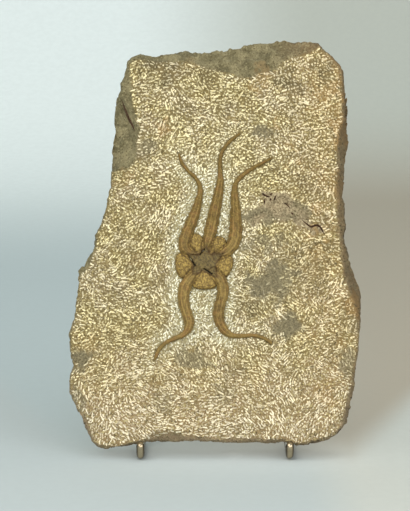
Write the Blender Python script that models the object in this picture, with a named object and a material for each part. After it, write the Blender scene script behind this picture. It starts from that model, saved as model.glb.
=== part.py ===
"""Fossil brittle star in relief on its slab of siltstone, standing on a small welded wire easel.

The slab and the star are modelled lying flat, in a frame of their own: x to the right, y up the face
and z out of it. An empty leans that frame back on the easel. In the world +Z is up, the prepared face
looks towards -Y, and the origin is on the shelf, under the middle of the whole object.
"""

import math

import bpy
import numpy as np
from mathutils import Matrix, Vector, noise
from mathutils.geometry import delaunay_2d_cdt

MM = 0.001

# Driving dimensions, in metres.
SLAB_THICKNESS = 0.018
LEAN = math.radians(18.0)
WIRE = 0.0032
GAP = 0.0003  # left between pieces that touch
LEG_SPREAD = 0.059  # between the two hooks
EASEL_DEPTH = 0.090  # from the front of the hooks to the back of the foot bar
HOOK_HEIGHT = 0.0074
UPRIGHT_REACH = 0.104  # up the slab's back
HOOK_BEND = 0.0032
HEEL_BEND = 0.0040
STAR_RELIEF = 0.0024  # how far the thick arms stand out of the matrix

# The slab's outline, anticlockwise from its lower left corner: millimetres right and up.
OUTLINE_MM = (
    (-46.7, 1.5), (-43.9, 0.7), (-35.8, 1.4), (-32.3, 2.5), (-25.9, 3.6), (-10.1, 3.6), (5.7, 3.0),
    (16.6, 3.5), (21.5, 2.6), (27.0, 3.4), (33.0, 1.7), (42.0, 3.8), (46.7, 5.2), (50.0, 7.7),
    (52.3, 11.0), (54.3, 20.1), (56.0, 31.1), (57.4, 44.0), (58.5, 55.4), (57.9, 63.3), (54.8, 72.0),
    (53.1, 80.9), (51.5, 84.1), (52.5, 87.3), (52.5, 93.6), (51.6, 102.9), (52.1, 111.1), (53.9, 124.2),
    (53.2, 142.1), (52.7, 151.8), (51.6, 156.6), (47.6, 160.2), (44.8, 161.5), (42.1, 165.0),
    (29.5, 165.8), (16.6, 165.3), (1.8, 162.0), (-9.5, 161.4), (-12.8, 161.9), (-14.6, 160.9),
    (-23.3, 160.2), (-25.6, 159.1), (-26.8, 160.1), (-31.0, 160.7), (-35.2, 158.4), (-37.1, 151.0),
    (-38.6, 147.2), (-38.2, 144.9), (-40.2, 140.8), (-40.7, 132.8), (-39.8, 131.5), (-41.5, 121.7),
    (-41.5, 112.1), (-43.8, 97.3), (-45.0, 92.0), (-47.6, 86.5), (-49.1, 79.6), (-54.4, 71.8),
    (-55.8, 53.5), (-58.0, 46.5), (-57.9, 42.6), (-56.6, 34.4), (-58.2, 28.4), (-57.9, 23.5),
    (-56.4, 19.5), (-52.9, 12.3), (-49.3, 4.5),
)

# Where the edge of the face is broken away: middle of the break, reach along the edge, width, drop.
PLAIN_EDGE_MM = (1.4, 1.6)
BREAKS_MM = (
    ((11.2, 164.2), 27.0, 10.6, 5.5),  # the big one along the top
    ((-22.2, 160.1), 14.0, 4.6, 2.6),
    ((-40.9, 123.4), 21.0, 9.4, 7.0),  # the tall one at the upper left
    ((-52.0, 75.0), 8.0, 5.0, 4.0),
    ((-56.7, 37.3), 9.0, 5.5, 2.4),
    ((-57.1, 24.5), 7.0, 4.0, 2.4),
    ((-52.5, 11.7), 10.0, 3.6, 3.0),
    ((-18.8, 3.9), 10.0, 4.4, 4.0),
    ((5.9, 3.3), 17.0, 2.4, 3.0),
    ((53.5, 20.5), 15.0, 3.2, 4.0),
    ((55.9, 68.0), 11.0, 4.4, 4.0),
    ((53.0, 118.3), 26.0, 4.0, 4.6),
)
# The upper right corner slopes away beyond a ridge: a point on the ridge, its direction, the slope.
CORNER_MM = ((40.0, 161.0), (-0.30, -0.95), 0.24)
CORNER_FROM_MM, CORNER_FULL_MM = 126.0, 146.0
# A flake has slipped at the upper left: the rock left of this line stands lower.
LEDGE_MM = ((-37.8, 141.7), (-36.5, 138.0), (-35.0, 134.1), (-33.4, 131.0), (-32.2, 127.8))
LEDGE_DROP_MM = 1.7
# A flake fell off the face here and left a shallow scar.
SCAR_MM = ((12.0, 92.2), (21.7, 97.1), (25.3, 102.3), (30.1, 101.1), (37.7, 94.6), (37.7, 91.4), (29.3, 93.4))
SCAR_DEPTH_MM = 0.7

RING_STEP = 0.0032
FACE_STEP = 0.0052
BACK_STEP = 0.0085
SIDE_LEVELS = ((0.0, 0.0), (0.30, 0.2), (0.66, 1.1), (1.0, 3.6))  # share of the depth, inset in mm

# The star: its mouth, then each arm from the disc to the tip as millimetres right and up, and width.
MOUTH_MM = (-4.3, 75.3)
ARMS_MM = {
    "arm_upper_left": (
        (-9.4, 77.6, 4.2), (-12.1, 80.4, 4.6), (-12.0, 84.0, 4.8), (-10.7, 87.6, 4.8),
        (-9.2, 91.5, 4.6), (-7.8, 95.3, 4.0), (-6.5, 99.9, 2.8), (-5.9, 103.1, 2.2), (-6.3, 106.4, 1.8),
        (-8.1, 109.3, 1.5), (-10.9, 111.9, 1.3), (-13.4, 115.3, 1.2), (-14.5, 118.6, 0.8),
    ),
    "arm_upper_middle": (
        (-3.7, 80.1, 3.7), (-2.4, 84.8, 4.7), (-1.3, 89.5, 5.0), (-0.4, 94.0, 4.7), (0.6, 98.5, 4.3),
        (1.5, 103.0, 3.7), (2.1, 107.0, 2.9), (2.1, 110.8, 1.9), (2.0, 114.7, 1.6), (2.6, 118.8, 1.5),
        (4.6, 122.3, 1.4), (7.5, 125.1, 1.2), (10.1, 127.0, 0.8),
    ),
    "arm_upper_right": (
        (1.0, 77.3, 3.8), (5.0, 79.5, 4.6), (7.5, 82.9, 5.2), (8.3, 87.2, 5.2), (8.3, 91.4, 4.9),
        (8.3, 95.2, 4.3), (8.1, 99.1, 3.6), (7.8, 103.0, 2.7), (8.2, 106.1, 2.1), (9.7, 108.6, 1.8),
        (12.2, 110.9, 1.6), (15.9, 113.3, 1.4), (19.6, 115.3, 1.2), (22.9, 117.1, 0.8),
    ),
    "arm_lower_left": (
        (-7.6, 70.9, 3.8), (-9.8, 68.2, 4.6), (-11.7, 65.1, 4.8), (-12.6, 61.1, 4.7),
        (-12.2, 57.2, 4.5), (-11.1, 53.7, 4.2), (-10.3, 50.6, 4.0), (-10.9, 47.7, 3.2),
        (-13.0, 45.4, 2.2), (-16.4, 43.9, 1.8), (-19.8, 42.2, 1.6), (-22.2, 39.8, 1.5),
        (-23.5, 36.9, 1.3), (-24.1, 35.3, 0.9),
    ),
    "arm_lower_right": (
        (-0.6, 70.6, 3.8), (1.6, 68.2, 4.6), (3.0, 65.3, 4.8), (3.1, 61.7, 4.6), (2.0, 57.9, 4.5),
        (1.4, 54.0, 4.4), (2.0, 50.3, 4.0), (4.1, 47.0, 3.3), (6.9, 45.3, 2.2), (10.7, 45.1, 1.7),
        (15.1, 45.3, 1.4), (19.0, 44.3, 1.3), (21.5, 42.9, 1.3), (22.6, 41.9, 0.9),
    ),
}
ARM_STATIONS = 34
# Across an arm, from one edge to the other: share of the half width, share of the height.
ARM_SECTION = (
    (-1.0, 0.0), (-0.86, 0.58), (-0.58, 0.93), (-0.26, 0.84), (0.0, 0.98),
    (0.26, 0.84), (0.58, 0.93), (0.86, 0.58), (1.0, 0.0),
)
# The lobes of the disc between the arms, in millimetres: middle, half width, half length, tilt and how
# square it is, from 2 for an ellipse.
LOBES_MM = (
    ((-7.8, 81.9), 3.4, 4.4, 0.0, 2.3),
    ((1.4, 81.6), 3.1, 3.6, -0.3, 2.3),
    ((3.9, 73.0), 3.0, 4.9, -0.4, 2.3),
    ((-4.3, 67.8), 5.2, 4.1, 0.0, 3.2),
    ((-12.6, 73.4), 3.3, 5.4, 0.15, 2.3),
)
DISC_CORE_MM = 6.6
DISC_STEP = 0.0011
DISC_EDGE_MM = 0.9
MOUTH_DEPTH_MM = 0.7

# The easel's back frame: where the struts start on the top bar and end on the foot bar.
TOP_BAR_REACH = 0.096
TOP_BAR_LENGTH = 0.068
FOOT_BAR_LENGTH = 0.076
STRUT_TOP_SPREAD = 0.030
STRUT_FOOT_SPREAD = 0.058
WIRE_SIDES = 12
TIP_RINGS = 3


def clear_scene():
    for item in list(bpy.data.objects):
        bpy.data.objects.remove(item)


def material(name, colour, roughness, metallic=0.0):
    made = bpy.data.materials.new(name)
    made.use_nodes = True
    shader = made.node_tree.nodes["Principled BSDF"]
    shader.inputs["Base Color"].default_value = (*colour, 1.0)
    shader.inputs["Roughness"].default_value = roughness
    shader.inputs["Metallic"].default_value = metallic
    return made


def add_object(name, points, faces, finish, parent=None, smooth=False):
    mesh = bpy.data.meshes.new(name)
    mesh.from_pydata([tuple(point) for point in points], [], [tuple(face) for face in faces])
    mesh.materials.append(finish)
    if smooth:
        mesh.shade_smooth()
        mesh.set_sharp_from_angle(angle=math.radians(40.0))
    item = bpy.data.objects.new(name, mesh)
    bpy.context.scene.collection.objects.link(item)
    item.parent = parent
    return item


def resampled(points, step):
    """A closed line of points this far apart, through the given ones."""
    closed = np.vstack([points, points[:1]])
    along = np.concatenate([[0.0], np.cumsum(np.linalg.norm(np.diff(closed, axis=0), axis=1))])
    at = np.linspace(0.0, along[-1], int(along[-1] / step), endpoint=False)
    return np.stack([np.interp(at, along, closed[:, axis]) for axis in (0, 1)], axis=1)


def inward(ring):
    """The unit normal into the shape at each point of an anticlockwise ring."""
    tangent = np.roll(ring, -1, axis=0) - np.roll(ring, 1, axis=0)
    tangent /= np.linalg.norm(tangent, axis=1)[:, None]
    return np.stack([-tangent[:, 1], tangent[:, 0]], axis=1)


def rough(x, y, z, size, amount):
    """Smooth noise of that wavelength and amount, in metres."""
    return amount * noise.noise(Vector((x, y, z)) / size)


def slab_ring():
    ring = resampled(np.array(OUTLINE_MM) * MM, RING_STEP)
    push = [rough(x, y, 0.0, 0.004, 0.0005) for x, y in ring]
    return ring + inward(ring) * np.array(push)[:, None]


def edge_break(point):
    """Width and drop of the broken edge at a point of the ring."""
    width, drop = (size * MM for size in PLAIN_EDGE_MM)
    for middle, reach, full_width, full_drop in BREAKS_MM:
        away = np.linalg.norm(point - np.array(middle) * MM) / (reach * MM)
        share = max(0.0, 1.0 - away**2) ** 0.6
        width = max(width, full_width * MM * share)
        drop = max(drop, full_drop * MM * share)
    return width, drop


def corner_drop(x, y):
    """How far the sloping upper right corner lies under the face."""
    (ridge_x, ridge_y), (along_x, along_y), slope = CORNER_MM
    beyond = (x - ridge_x * MM) * -along_y + (y - ridge_y * MM) * along_x
    fade = (y / MM - CORNER_FROM_MM) / (CORNER_FULL_MM - CORNER_FROM_MM)
    return slope * max(0.0, beyond) * min(1.0, max(0.0, fade))


def face_level(x, y):
    """The gently uneven prepared face, out of the plane z = 0."""
    swell = 0.45 * math.sin(x / 0.019 + 0.8) * math.cos(y / 0.026)
    bow = 0.35 * math.cos(y / 0.043 + 0.5)
    return (swell + bow) * MM


def ledge_drop(x, y):
    """How far the slipped flake lies under the rock beside it."""
    line = np.array(LEDGE_MM[::-1]) * MM
    if not line[0][1] < y < line[-1][1]:
        return 0.0
    beyond = np.interp(y, line[:, 1], line[:, 0]) - x
    along = (y - line[0][1]) / (line[-1][1] - line[0][1])
    return LEDGE_DROP_MM * MM * min(1.0, max(0.0, beyond / (0.5 * MM))) * math.sin(math.pi * along) ** 0.5


def scar_drop(x, y):
    outline = np.array(SCAR_MM) * MM
    if not is_inside(np.array((x, y)), outline):
        return 0.0
    apart = np.linalg.norm(resampled(outline, 0.0005) - (x, y), axis=1).min()
    return SCAR_DEPTH_MM * MM * min(1.0, apart / (0.7 * MM))


def feature_points():
    """Points that give the ledge and the scar their crisp edges."""
    line = resampled(np.array(LEDGE_MM + LEDGE_MM[-2:0:-1]) * MM, 0.0024)
    scar = resampled(np.array(SCAR_MM) * MM, 0.0036)
    found = list(line[: len(line) // 2]) + list(line[: len(line) // 2] - (0.0006, 0.0))
    return found + list(scar) + list(scar + inward(scar) * -0.0008)


class Slab:
    """The outline with the size of its broken edge at each point, for the heights of the front."""

    def __init__(self):
        self.ring = slab_ring()
        self.inside = inward(self.ring)
        sizes = np.array([edge_break(point) for point in self.ring])
        self.width, self.drop = sizes[:, 0], sizes[:, 1]

    def edge(self, x, y):
        """Distance to the outline, and the index of the nearest point of it."""
        apart = np.linalg.norm(self.ring - (x, y), axis=1)
        nearest = int(apart.argmin())
        return apart[nearest], nearest

    def front(self, x, y):
        """Height of the front at a point, broken edges and sloping corner included."""
        distance, nearest = self.edge(x, y)
        share = max(0.0, 1.0 - distance / self.width[nearest])
        broken = self.drop[nearest] * share
        chips = rough(x, y, 0.1, 0.006, 0.0009) * min(1.0, 3.0 * share)
        return face_level(x, y) - broken - corner_drop(x, y) - ledge_drop(x, y) - scar_drop(x, y) + chips


def inner_points(slab, step, margin, seed):
    """A jittered grid of points inside the outline and at least the margin from it."""
    chance = np.random.default_rng(seed)
    low, high = slab.ring.min(axis=0), slab.ring.max(axis=0)
    polygon = slab.ring
    found = []
    for row, y in enumerate(np.arange(low[1], high[1], step * 0.87)):
        for x in np.arange(low[0], high[0], step) + (row % 2) * step / 2:
            at = np.array((x, y)) + chance.uniform(-0.22, 0.22, 2) * step
            if is_inside(at, polygon) and slab.edge(*at)[0] > margin:
                found.append(at)
    return found


def is_inside(point, polygon):
    x, y = point
    following = np.roll(polygon, -1, axis=0)
    crosses = (polygon[:, 1] > y) != (following[:, 1] > y)
    rise = following[:, 1] - polygon[:, 1]
    rise[rise == 0.0] = 1e-12
    at = polygon[:, 0] + (y - polygon[:, 1]) / rise * (following[:, 0] - polygon[:, 0])
    return bool((crosses & (x < at)).sum() % 2)


def spaced_out(points, least):
    """The points in order, less each one that is closer than that to an earlier one."""
    kept = np.array(points[:1])
    for point in points[1:]:
        if np.linalg.norm(kept - point, axis=1).min() > least:
            kept = np.vstack([kept, point])
    return list(kept)


def triangulated(ring, inner):
    """Triangles over a ring and the points in it. The ring's points come first."""
    flat = [Vector(point) for point in ring] + [Vector(point) for point in inner]
    edges = [(i, (i + 1) % len(ring)) for i in range(len(ring))]
    points, _, faces, origins, _, _ = delaunay_2d_cdt(flat, edges, [], 1, 1e-7)
    name = [source[0] for source in origins]
    return [tuple(name[corner] for corner in face) for face in faces]


def slab_front(slab):
    """(points in the plane, triangles) of the front, with rings of points down the broken edges."""
    rings = []
    for share in (0.5, 1.0):
        rings += list(slab.ring + slab.inside * (slab.width * share)[:, None])
    on_edges = [at for at in rings if is_inside(at, slab.ring) and slab.edge(*at)[0] > 0.5 * MM]
    features = feature_points()
    spread = on_edges + inner_points(slab, FACE_STEP, 3.0 * MM, seed=4)
    clear = [at for at in spread if np.linalg.norm(features - at, axis=1).min() > 1.2 * MM]
    inner = features + spaced_out(clear, 1.7 * MM)
    return inner, triangulated(slab.ring, inner)


def back_level(x, y):
    """The split back dips up to about a millimetre into the slab, and never stands out of it."""
    steps = 0.5 + 0.5 * noise.noise(Vector((x, y, 0.3)) / 0.030)
    ledge = 0.4 if noise.noise(Vector((x, y, 0.7)) / 0.045) > 0.12 else 0.0
    return (0.7 * steps + ledge) * MM


def side_rings(slab):
    """Rings from the front edge to the back edge, rough as broken rock is."""
    front_z = np.array([slab.front(x, y) for x, y in slab.ring])
    rings = []
    for level, (share, inset_mm) in enumerate(SIDE_LEVELS):
        depth = front_z + (-SLAB_THICKNESS - front_z) * share
        inset = np.full(len(slab.ring), inset_mm * MM)
        if level:
            inset += [rough(x, y, z, 0.007, 0.0013) for (x, y), z in zip(slab.ring, depth)]
        flat = slab.ring + slab.inside * np.maximum(inset, -0.2 * MM)[:, None]
        rings.append(np.column_stack([flat, depth]))
    return rings


def build_slab(slab, finish, parent):
    inner, faces = slab_front(slab)
    rings = side_rings(slab)
    count = len(slab.ring)
    points = [tuple(point) for point in rings[0]]
    points += [(x, y, slab.front(x, y)) for x, y in inner]
    previous = list(range(count))
    for ring in rings[1:]:
        start = len(points)
        points += [tuple(point) for point in ring]
        current = list(range(start, start + count))
        for i in range(count):
            j = (i + 1) % count
            faces.append((previous[j], previous[i], current[i], current[j]))
        previous = current
    back_ring = rings[-1][:, :2]
    back_inner = [
        at for at in inner_points(slab, BACK_STEP, 8.0 * MM, seed=9) if is_inside(at, back_ring)
    ]
    start = len(points)
    points += [(x, y, -SLAB_THICKNESS + back_level(x, y)) for x, y in back_inner]
    names = previous + list(range(start, start + len(back_inner)))
    for face in triangulated(back_ring, back_inner):
        faces.append(tuple(names[corner] for corner in reversed(face)))
    return add_object("matrix_slab", points, faces, finish, parent)


def smooth_path(rows, stations):
    """Points on a Catmull-Rom curve through the rows, evenly spaced by row."""
    rows = np.array(rows, float)
    padded = np.vstack([2 * rows[0] - rows[1], rows, 2 * rows[-1] - rows[-2]])
    found = []
    for at in np.linspace(0.0, len(rows) - 1.0, stations):
        i = min(int(at), len(rows) - 2)
        t = at - i
        a, b, c, d = padded[i : i + 4]
        found.append(
            0.5 * (2 * b + (c - a) * t + (2 * a - 5 * b + 4 * c - d) * t**2 + (3 * b - a - 3 * c + d) * t**3)
        )
    return np.array(found)


def arm_line(name, stations=ARM_STATIONS):
    """(points, widths) along the middle of an arm, in metres."""
    line = smooth_path(ARMS_MM[name], stations) * MM
    return line[:, :2], line[:, 2]


def sideways(line):
    """The unit vector to the left of each point of an open line."""
    along = np.gradient(line, axis=0)
    along /= np.linalg.norm(along, axis=1)[:, None]
    return np.stack([-along[:, 1], along[:, 0]], axis=1)


def arm_height(width):
    """Thin stretches of an arm stand out less than thick ones."""
    return STAR_RELIEF * (0.25 + 0.75 * min(1.0, width / 0.0050))


def build_arm(name, finish, parent):
    line, widths = arm_line(name)
    side = sideways(line)
    points, faces = [], []
    across = len(ARM_SECTION)
    for (x, y), left, width in zip(line, side, widths):
        bottom = face_level(x, y) + GAP
        for share, lift in ARM_SECTION:
            at = np.array((x, y)) + left * share * width / 2
            points.append((*at, bottom + lift * arm_height(width)))
    for station in range(len(line) - 1):
        here, there = station * across, (station + 1) * across
        for k in range(across):
            after = (k + 1) % across
            faces.append((here + k, there + k, there + after, here + after))
    last = (len(line) - 1) * across
    faces.append(tuple(range(across)))
    faces.append(tuple(reversed(range(last, last + across))))
    return add_object(name, points, faces, finish, parent)


def oval(middle, half_width, half_length, tilt=0.0, power=2.0, sides=28):
    """Points round a tilted oval, in millimetres. A power over 2 squares it up."""
    angles = np.linspace(0.0, 2 * math.pi, sides, endpoint=False)
    x, y = np.cos(angles), np.sin(angles)
    x = half_width * np.sign(x) * abs(x) ** (2 / power)
    y = half_length * np.sign(y) * abs(y) ** (2 / power)
    turned = np.stack([x * math.cos(tilt) - y * math.sin(tilt), x * math.sin(tilt) + y * math.cos(tilt)], 1)
    return turned + middle


def lobe_share(x, y):
    """1 at the top of a lobe of the disc, falling to 0 at its edge."""
    best = 0.0
    for (middle_x, middle_y), half_width, half_length, tilt, power in LOBES_MM:
        off_x, off_y = x / MM - middle_x, y / MM - middle_y
        across = off_x * math.cos(tilt) + off_y * math.sin(tilt)
        along = off_y * math.cos(tilt) - off_x * math.sin(tilt)
        best = max(best, 1.0 - abs(across / half_width) ** power - abs(along / half_length) ** power)
    return best


def arm_footprint(name):
    """The outline of an arm with the gap round it."""
    line, widths = arm_line(name)
    line, widths = line[:16], widths[:16]
    side = sideways(line)
    start = (line[0] - line[1]) / np.linalg.norm(line[0] - line[1])
    line[0] += start * 1.2 * GAP
    reach = (widths / 2 + 1.2 * GAP)[:, None]
    return np.vstack([line - side * reach, (line + side * reach)[::-1]])


def disc_plan():
    """(points, triangles) of the disc in the plane: its core and lobes, less the arms."""
    body = [oval(MOUTH_MM, DISC_CORE_MM, DISC_CORE_MM) * MM]
    body += [oval(*lobe) * MM for lobe in LOBES_MM]
    outlines = body + [arm_footprint(name) for name in ARMS_MM]
    flat, faces = [], []
    for outline in outlines:
        faces.append(list(range(len(flat), len(flat) + len(outline))))
        flat += [Vector(point) for point in outline]
    low, high = np.vstack(body).min(axis=0), np.vstack(body).max(axis=0)
    for row, y in enumerate(np.arange(low[1], high[1], DISC_STEP * 0.87)):
        for x in np.arange(low[0], high[0], DISC_STEP) + (row % 2) * DISC_STEP / 2:
            flat.append(Vector((x, y)))
    points, _, found, _, _, origins = delaunay_2d_cdt(flat, [], faces, 0, 1e-7)
    kept = []
    for face, inside in zip(found, origins):
        if any(i < len(body) for i in inside) and all(i < len(body) for i in inside):
            kept.append(tuple(face))
    return np.array([tuple(point) for point in points]), joined_to_mouth(points, kept)


def joined_to_mouth(points, faces):
    """The faces that reach the mouth across shared edges."""
    by_edge = {}
    for face in faces:
        for edge in zip(face, face[1:] + face[:1]):
            by_edge.setdefault(frozenset(edge), []).append(face)
    mouth = Vector(MOUTH_MM) * MM

    def from_mouth(face):
        return (sum((points[i] for i in face), Vector((0.0, 0.0))) / 3 - mouth).length

    waiting = [min(faces, key=from_mouth)]
    joined = set(waiting)
    while waiting:
        face = waiting.pop()
        for edge in zip(face, face[1:] + face[:1]):
            for beside in by_edge[frozenset(edge)]:
                if beside not in joined:
                    joined.add(beside)
                    waiting.append(beside)
    return [face for face in faces if face in joined]


def disc_height(at, from_edge):
    """The domed lobes and the dished mouth between them, rounded down to the edge."""
    x, y = at
    from_mouth = math.hypot(x / MM - MOUTH_MM[0], y / MM - MOUTH_MM[1])
    dish = MOUTH_DEPTH_MM * MM * max(0.0, 1.0 - from_mouth / 4.5)
    full = STAR_RELIEF * (0.70 + 0.36 * max(0.0, lobe_share(x, y))) - dish
    inward_share = min(1.0, from_edge / (DISC_EDGE_MM * MM))
    return full * (0.35 + 0.65 * math.sqrt(inward_share * (2.0 - inward_share)))


def build_disc(finish, parent):
    flat, tops = disc_plan()
    edges = {edge for face in tops for edge in zip(face, face[1:] + face[:1])}
    rim = [edge for edge in edges if edge[::-1] not in edges]
    rim_points = flat[sorted({i for edge in rim for i in edge})]
    used = sorted({i for face in tops for i in face})
    upper = {i: place for place, i in enumerate(used)}
    count = len(used)
    bottom = face_level(*(np.array(MOUTH_MM) * MM)) + GAP
    points = []
    for i in used:
        from_edge = np.linalg.norm(rim_points - flat[i], axis=1).min()
        points.append((*flat[i], bottom + disc_height(flat[i], from_edge)))
    points += [(x, y, bottom) for x, y, _ in points]
    faces = [tuple(upper[i] for i in face) for face in tops]
    faces += [tuple(upper[i] + count for i in reversed(face)) for face in tops]
    faces += [(upper[b], upper[a], upper[a] + count, upper[b] + count) for a, b in rim]
    return add_object("disc", points, faces, finish, parent)


def bend(corner, before, after, radius, steps=5):
    """Points round the arc that replaces a sharp corner between two directions."""
    before, after = before.normalized(), after.normalized()
    turn = before.angle(after)
    reach = radius * math.tan(turn / 2)
    start = corner - before * reach
    centre_way = (after - before * before.dot(after)).normalized()
    centre = start + centre_way * radius
    found = []
    for step in range(steps + 1):
        angle = turn * step / steps
        found.append(centre - centre_way * radius * math.cos(angle) + before * radius * math.sin(angle))
    return found


def tube(name, path, finish, round_start=True, round_end=True):
    """A round wire along a path, as a prism of WIRE_SIDES flats whose lowest flat is level."""
    radius = WIRE / 2 / math.cos(math.pi / WIRE_SIDES)
    centres = [Vector(point) for point in path]
    scales = [1.0] * len(centres)
    turns = [math.pi / 2 * (k + 1) / (TIP_RINGS + 1) for k in range(TIP_RINGS)]
    for at_start in (True, False):
        if not (round_start if at_start else round_end):
            continue
        end, near = (centres[0], centres[1]) if at_start else (centres[-1], centres[-2])
        out = (end - near).normalized() * WIRE / 2
        for turn in turns:
            place = 0 if at_start else len(centres)
            centres.insert(place, end + out * math.sin(turn))
            scales.insert(place, math.cos(turn))
    points, faces = [], []
    for i, (centre, scale) in enumerate(zip(centres, scales)):
        along = (centres[min(i + 1, len(centres) - 1)] - centres[max(i - 1, 0)]).normalized()
        across = Vector((1.0, 0.0, 0.0)) if abs(along.x) < 0.5 else Vector((0.0, 1.0, 0.0))
        across = (across - along * across.dot(along)).normalized()
        over = along.cross(across)
        for k in range(WIRE_SIDES):
            angle = 2 * math.pi * (k + 0.5) / WIRE_SIDES
            points.append(centre + (across * math.cos(angle) + over * math.sin(angle)) * radius * scale)
    for i in range(len(centres) - 1):
        for k in range(WIRE_SIDES):
            j = (k + 1) % WIRE_SIDES
            here, there = i * WIRE_SIDES, (i + 1) * WIRE_SIDES
            faces.append((here + k, here + j, there + j, there + k))
    last = (len(centres) - 1) * WIRE_SIDES
    faces.append(tuple(reversed(range(WIRE_SIDES))))
    faces.append(tuple(range(last, last + WIRE_SIDES)))
    return add_object(name, points, faces, finish, smooth=True)


def side_path(x, lean_frame):
    """The middle of one side wire: hook, run along the shelf, and upright behind the slab."""
    half = WIRE / 2
    hook_y = -EASEL_DEPTH / 2 + half
    behind = -SLAB_THICKNESS - GAP - half
    low = lean_frame @ Vector((x, 0.0, behind))
    high = lean_frame @ Vector((x, UPRIGHT_REACH, behind))
    up_the_back = (high - low).normalized()
    heel = low + up_the_back * ((half - low.z) / up_the_back.z)
    toe = Vector((x, hook_y, half))
    path = [Vector((x, hook_y, HOOK_HEIGHT - half))]
    path += bend(toe, Vector((0, 0, -1)), Vector((0, 1, 0)), HOOK_BEND)
    path += bend(heel, Vector((0, 1, 0)), up_the_back, HEEL_BEND)
    return path + [high]


def build_easel(finish, lean_frame):
    half = WIRE / 2
    for name, x in (("easel_side_left", -LEG_SPREAD / 2), ("easel_side_right", LEG_SPREAD / 2)):
        tube(name, side_path(x, lean_frame), finish)
    behind = -SLAB_THICKNESS - 2 * GAP - 3 * half
    top = lean_frame @ Vector((0.0, TOP_BAR_REACH, behind))
    foot = Vector((0.0, EASEL_DEPTH / 2 - half, half))
    for name, middle, length in (
        ("easel_top_bar", top, TOP_BAR_LENGTH),
        ("easel_foot_bar", foot, FOOT_BAR_LENGTH),
    ):
        reach = Vector((length / 2 - half, 0.0, 0.0))
        tube(name, [middle - reach, middle, middle + reach], finish)
    for name, sign in (("easel_strut_left", -1), ("easel_strut_right", 1)):
        start = top + Vector((sign * STRUT_TOP_SPREAD / 2, 0.0, 0.0))
        end = foot + Vector((sign * STRUT_FOOT_SPREAD / 2, 0.0, 0.0))
        along = (end - start).normalized()
        # A strut leans along the bar, so the low side of its flat end needs a little more room.
        clear = along * (half + GAP + half * 0.17)
        tube(name, [start + clear, (start + end) / 2, end - clear], finish, False, False)


def rest_on_easel(slab_item):
    """The leaning frame, placed so that the slab stands on the side wires and against the hooks."""
    turn = Matrix.Rotation(math.pi / 2 - LEAN, 4, "X")
    points = [turn @ vertex.co for vertex in slab_item.data.vertices]
    over_wires = [p for p in points if abs(abs(p.x) - LEG_SPREAD / 2) < WIRE]
    lift = WIRE + GAP - min(p.z for p in over_wires)
    by_hooks = [p for p in over_wires if p.z + lift < HOOK_HEIGHT + 0.5 * MM]
    forward = -EASEL_DEPTH / 2 + WIRE + GAP - min(p.y for p in by_hooks)
    return Matrix.Translation((0.0, forward, lift)) @ turn


def main():
    clear_scene()
    stone = material("matrix_stone", (0.46, 0.39, 0.22), 0.9)
    fossil = material("fossil_calcite", (0.31, 0.20, 0.07), 0.75)
    steel = material("plated_wire", (0.62, 0.60, 0.56), 0.2, 1.0)
    leaning = bpy.data.objects.new("leaning_slab", None)
    bpy.context.scene.collection.objects.link(leaning)
    slab_item = build_slab(Slab(), stone, leaning)
    build_disc(fossil, leaning)
    for name in ARMS_MM:
        build_arm(name, fossil, leaning)
    leaning.matrix_world = rest_on_easel(slab_item)
    build_easel(steel, leaning.matrix_world)


main()
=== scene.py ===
"""Looks of the fossil brittle star: the chiselled slab, the star in relief and the polished wire easel.

The slab and the star are made in the slab's own frame, which leans back on the easel: x to the right,
y up the face and z out of it. Tables in that frame are in millimetres.
"""

import math

import bpy
import numpy as np
from mathutils import Matrix, Vector, noise
from mathutils.bvhtree import BVHTree
from mathutils.geometry import delaunay_2d_cdt
from mathutils.kdtree import KDTree


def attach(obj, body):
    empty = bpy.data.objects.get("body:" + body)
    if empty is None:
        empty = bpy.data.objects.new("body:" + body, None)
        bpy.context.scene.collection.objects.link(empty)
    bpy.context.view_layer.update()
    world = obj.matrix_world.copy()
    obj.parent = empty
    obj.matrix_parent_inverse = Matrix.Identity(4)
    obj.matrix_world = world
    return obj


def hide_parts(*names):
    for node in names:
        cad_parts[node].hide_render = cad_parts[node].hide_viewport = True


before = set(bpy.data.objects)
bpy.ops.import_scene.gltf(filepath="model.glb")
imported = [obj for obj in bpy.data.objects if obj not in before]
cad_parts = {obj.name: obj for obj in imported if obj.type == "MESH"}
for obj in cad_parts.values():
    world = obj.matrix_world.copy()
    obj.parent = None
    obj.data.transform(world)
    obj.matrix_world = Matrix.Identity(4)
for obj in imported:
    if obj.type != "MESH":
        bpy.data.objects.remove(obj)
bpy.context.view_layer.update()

# Sizes of the solids, in metres.
MM = 0.001
GAP = 0.0003
LEAN = math.radians(18)
SLAB_FOOT = (0, -0.0424485, 0.0042543)  # where the slab's own frame starts
LEANING = Matrix.Translation(SLAB_FOOT) @ Matrix.Rotation(math.pi / 2 - LEAN, 4, "X")
SLAB_MIDDLE = np.array((0, 0.080))
SLAB_THICKNESS = 0.018
STAR_RELIEF_MM = 2.4
WIRE = 0.0032
LEG_SPREAD = 0.059
HOOK_FRONT, HOOK_TIP, HOOK_BEND = -0.0434, 0.0058, 0.0032
HEEL_BEND = 0.0040
UPRIGHT_REACH = 0.104
TOP_BAR, TOP_LENGTH = Vector((0, 0.009472, 0.088325)), 0.068
FOOT_BAR, FOOT_LENGTH = Vector((0, 0.0434, WIRE / 2)), 0.076
STRUTS_ABOVE, STRUTS_BELOW = 0.015, 0.029  # how far the struts are from the middle

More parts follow.
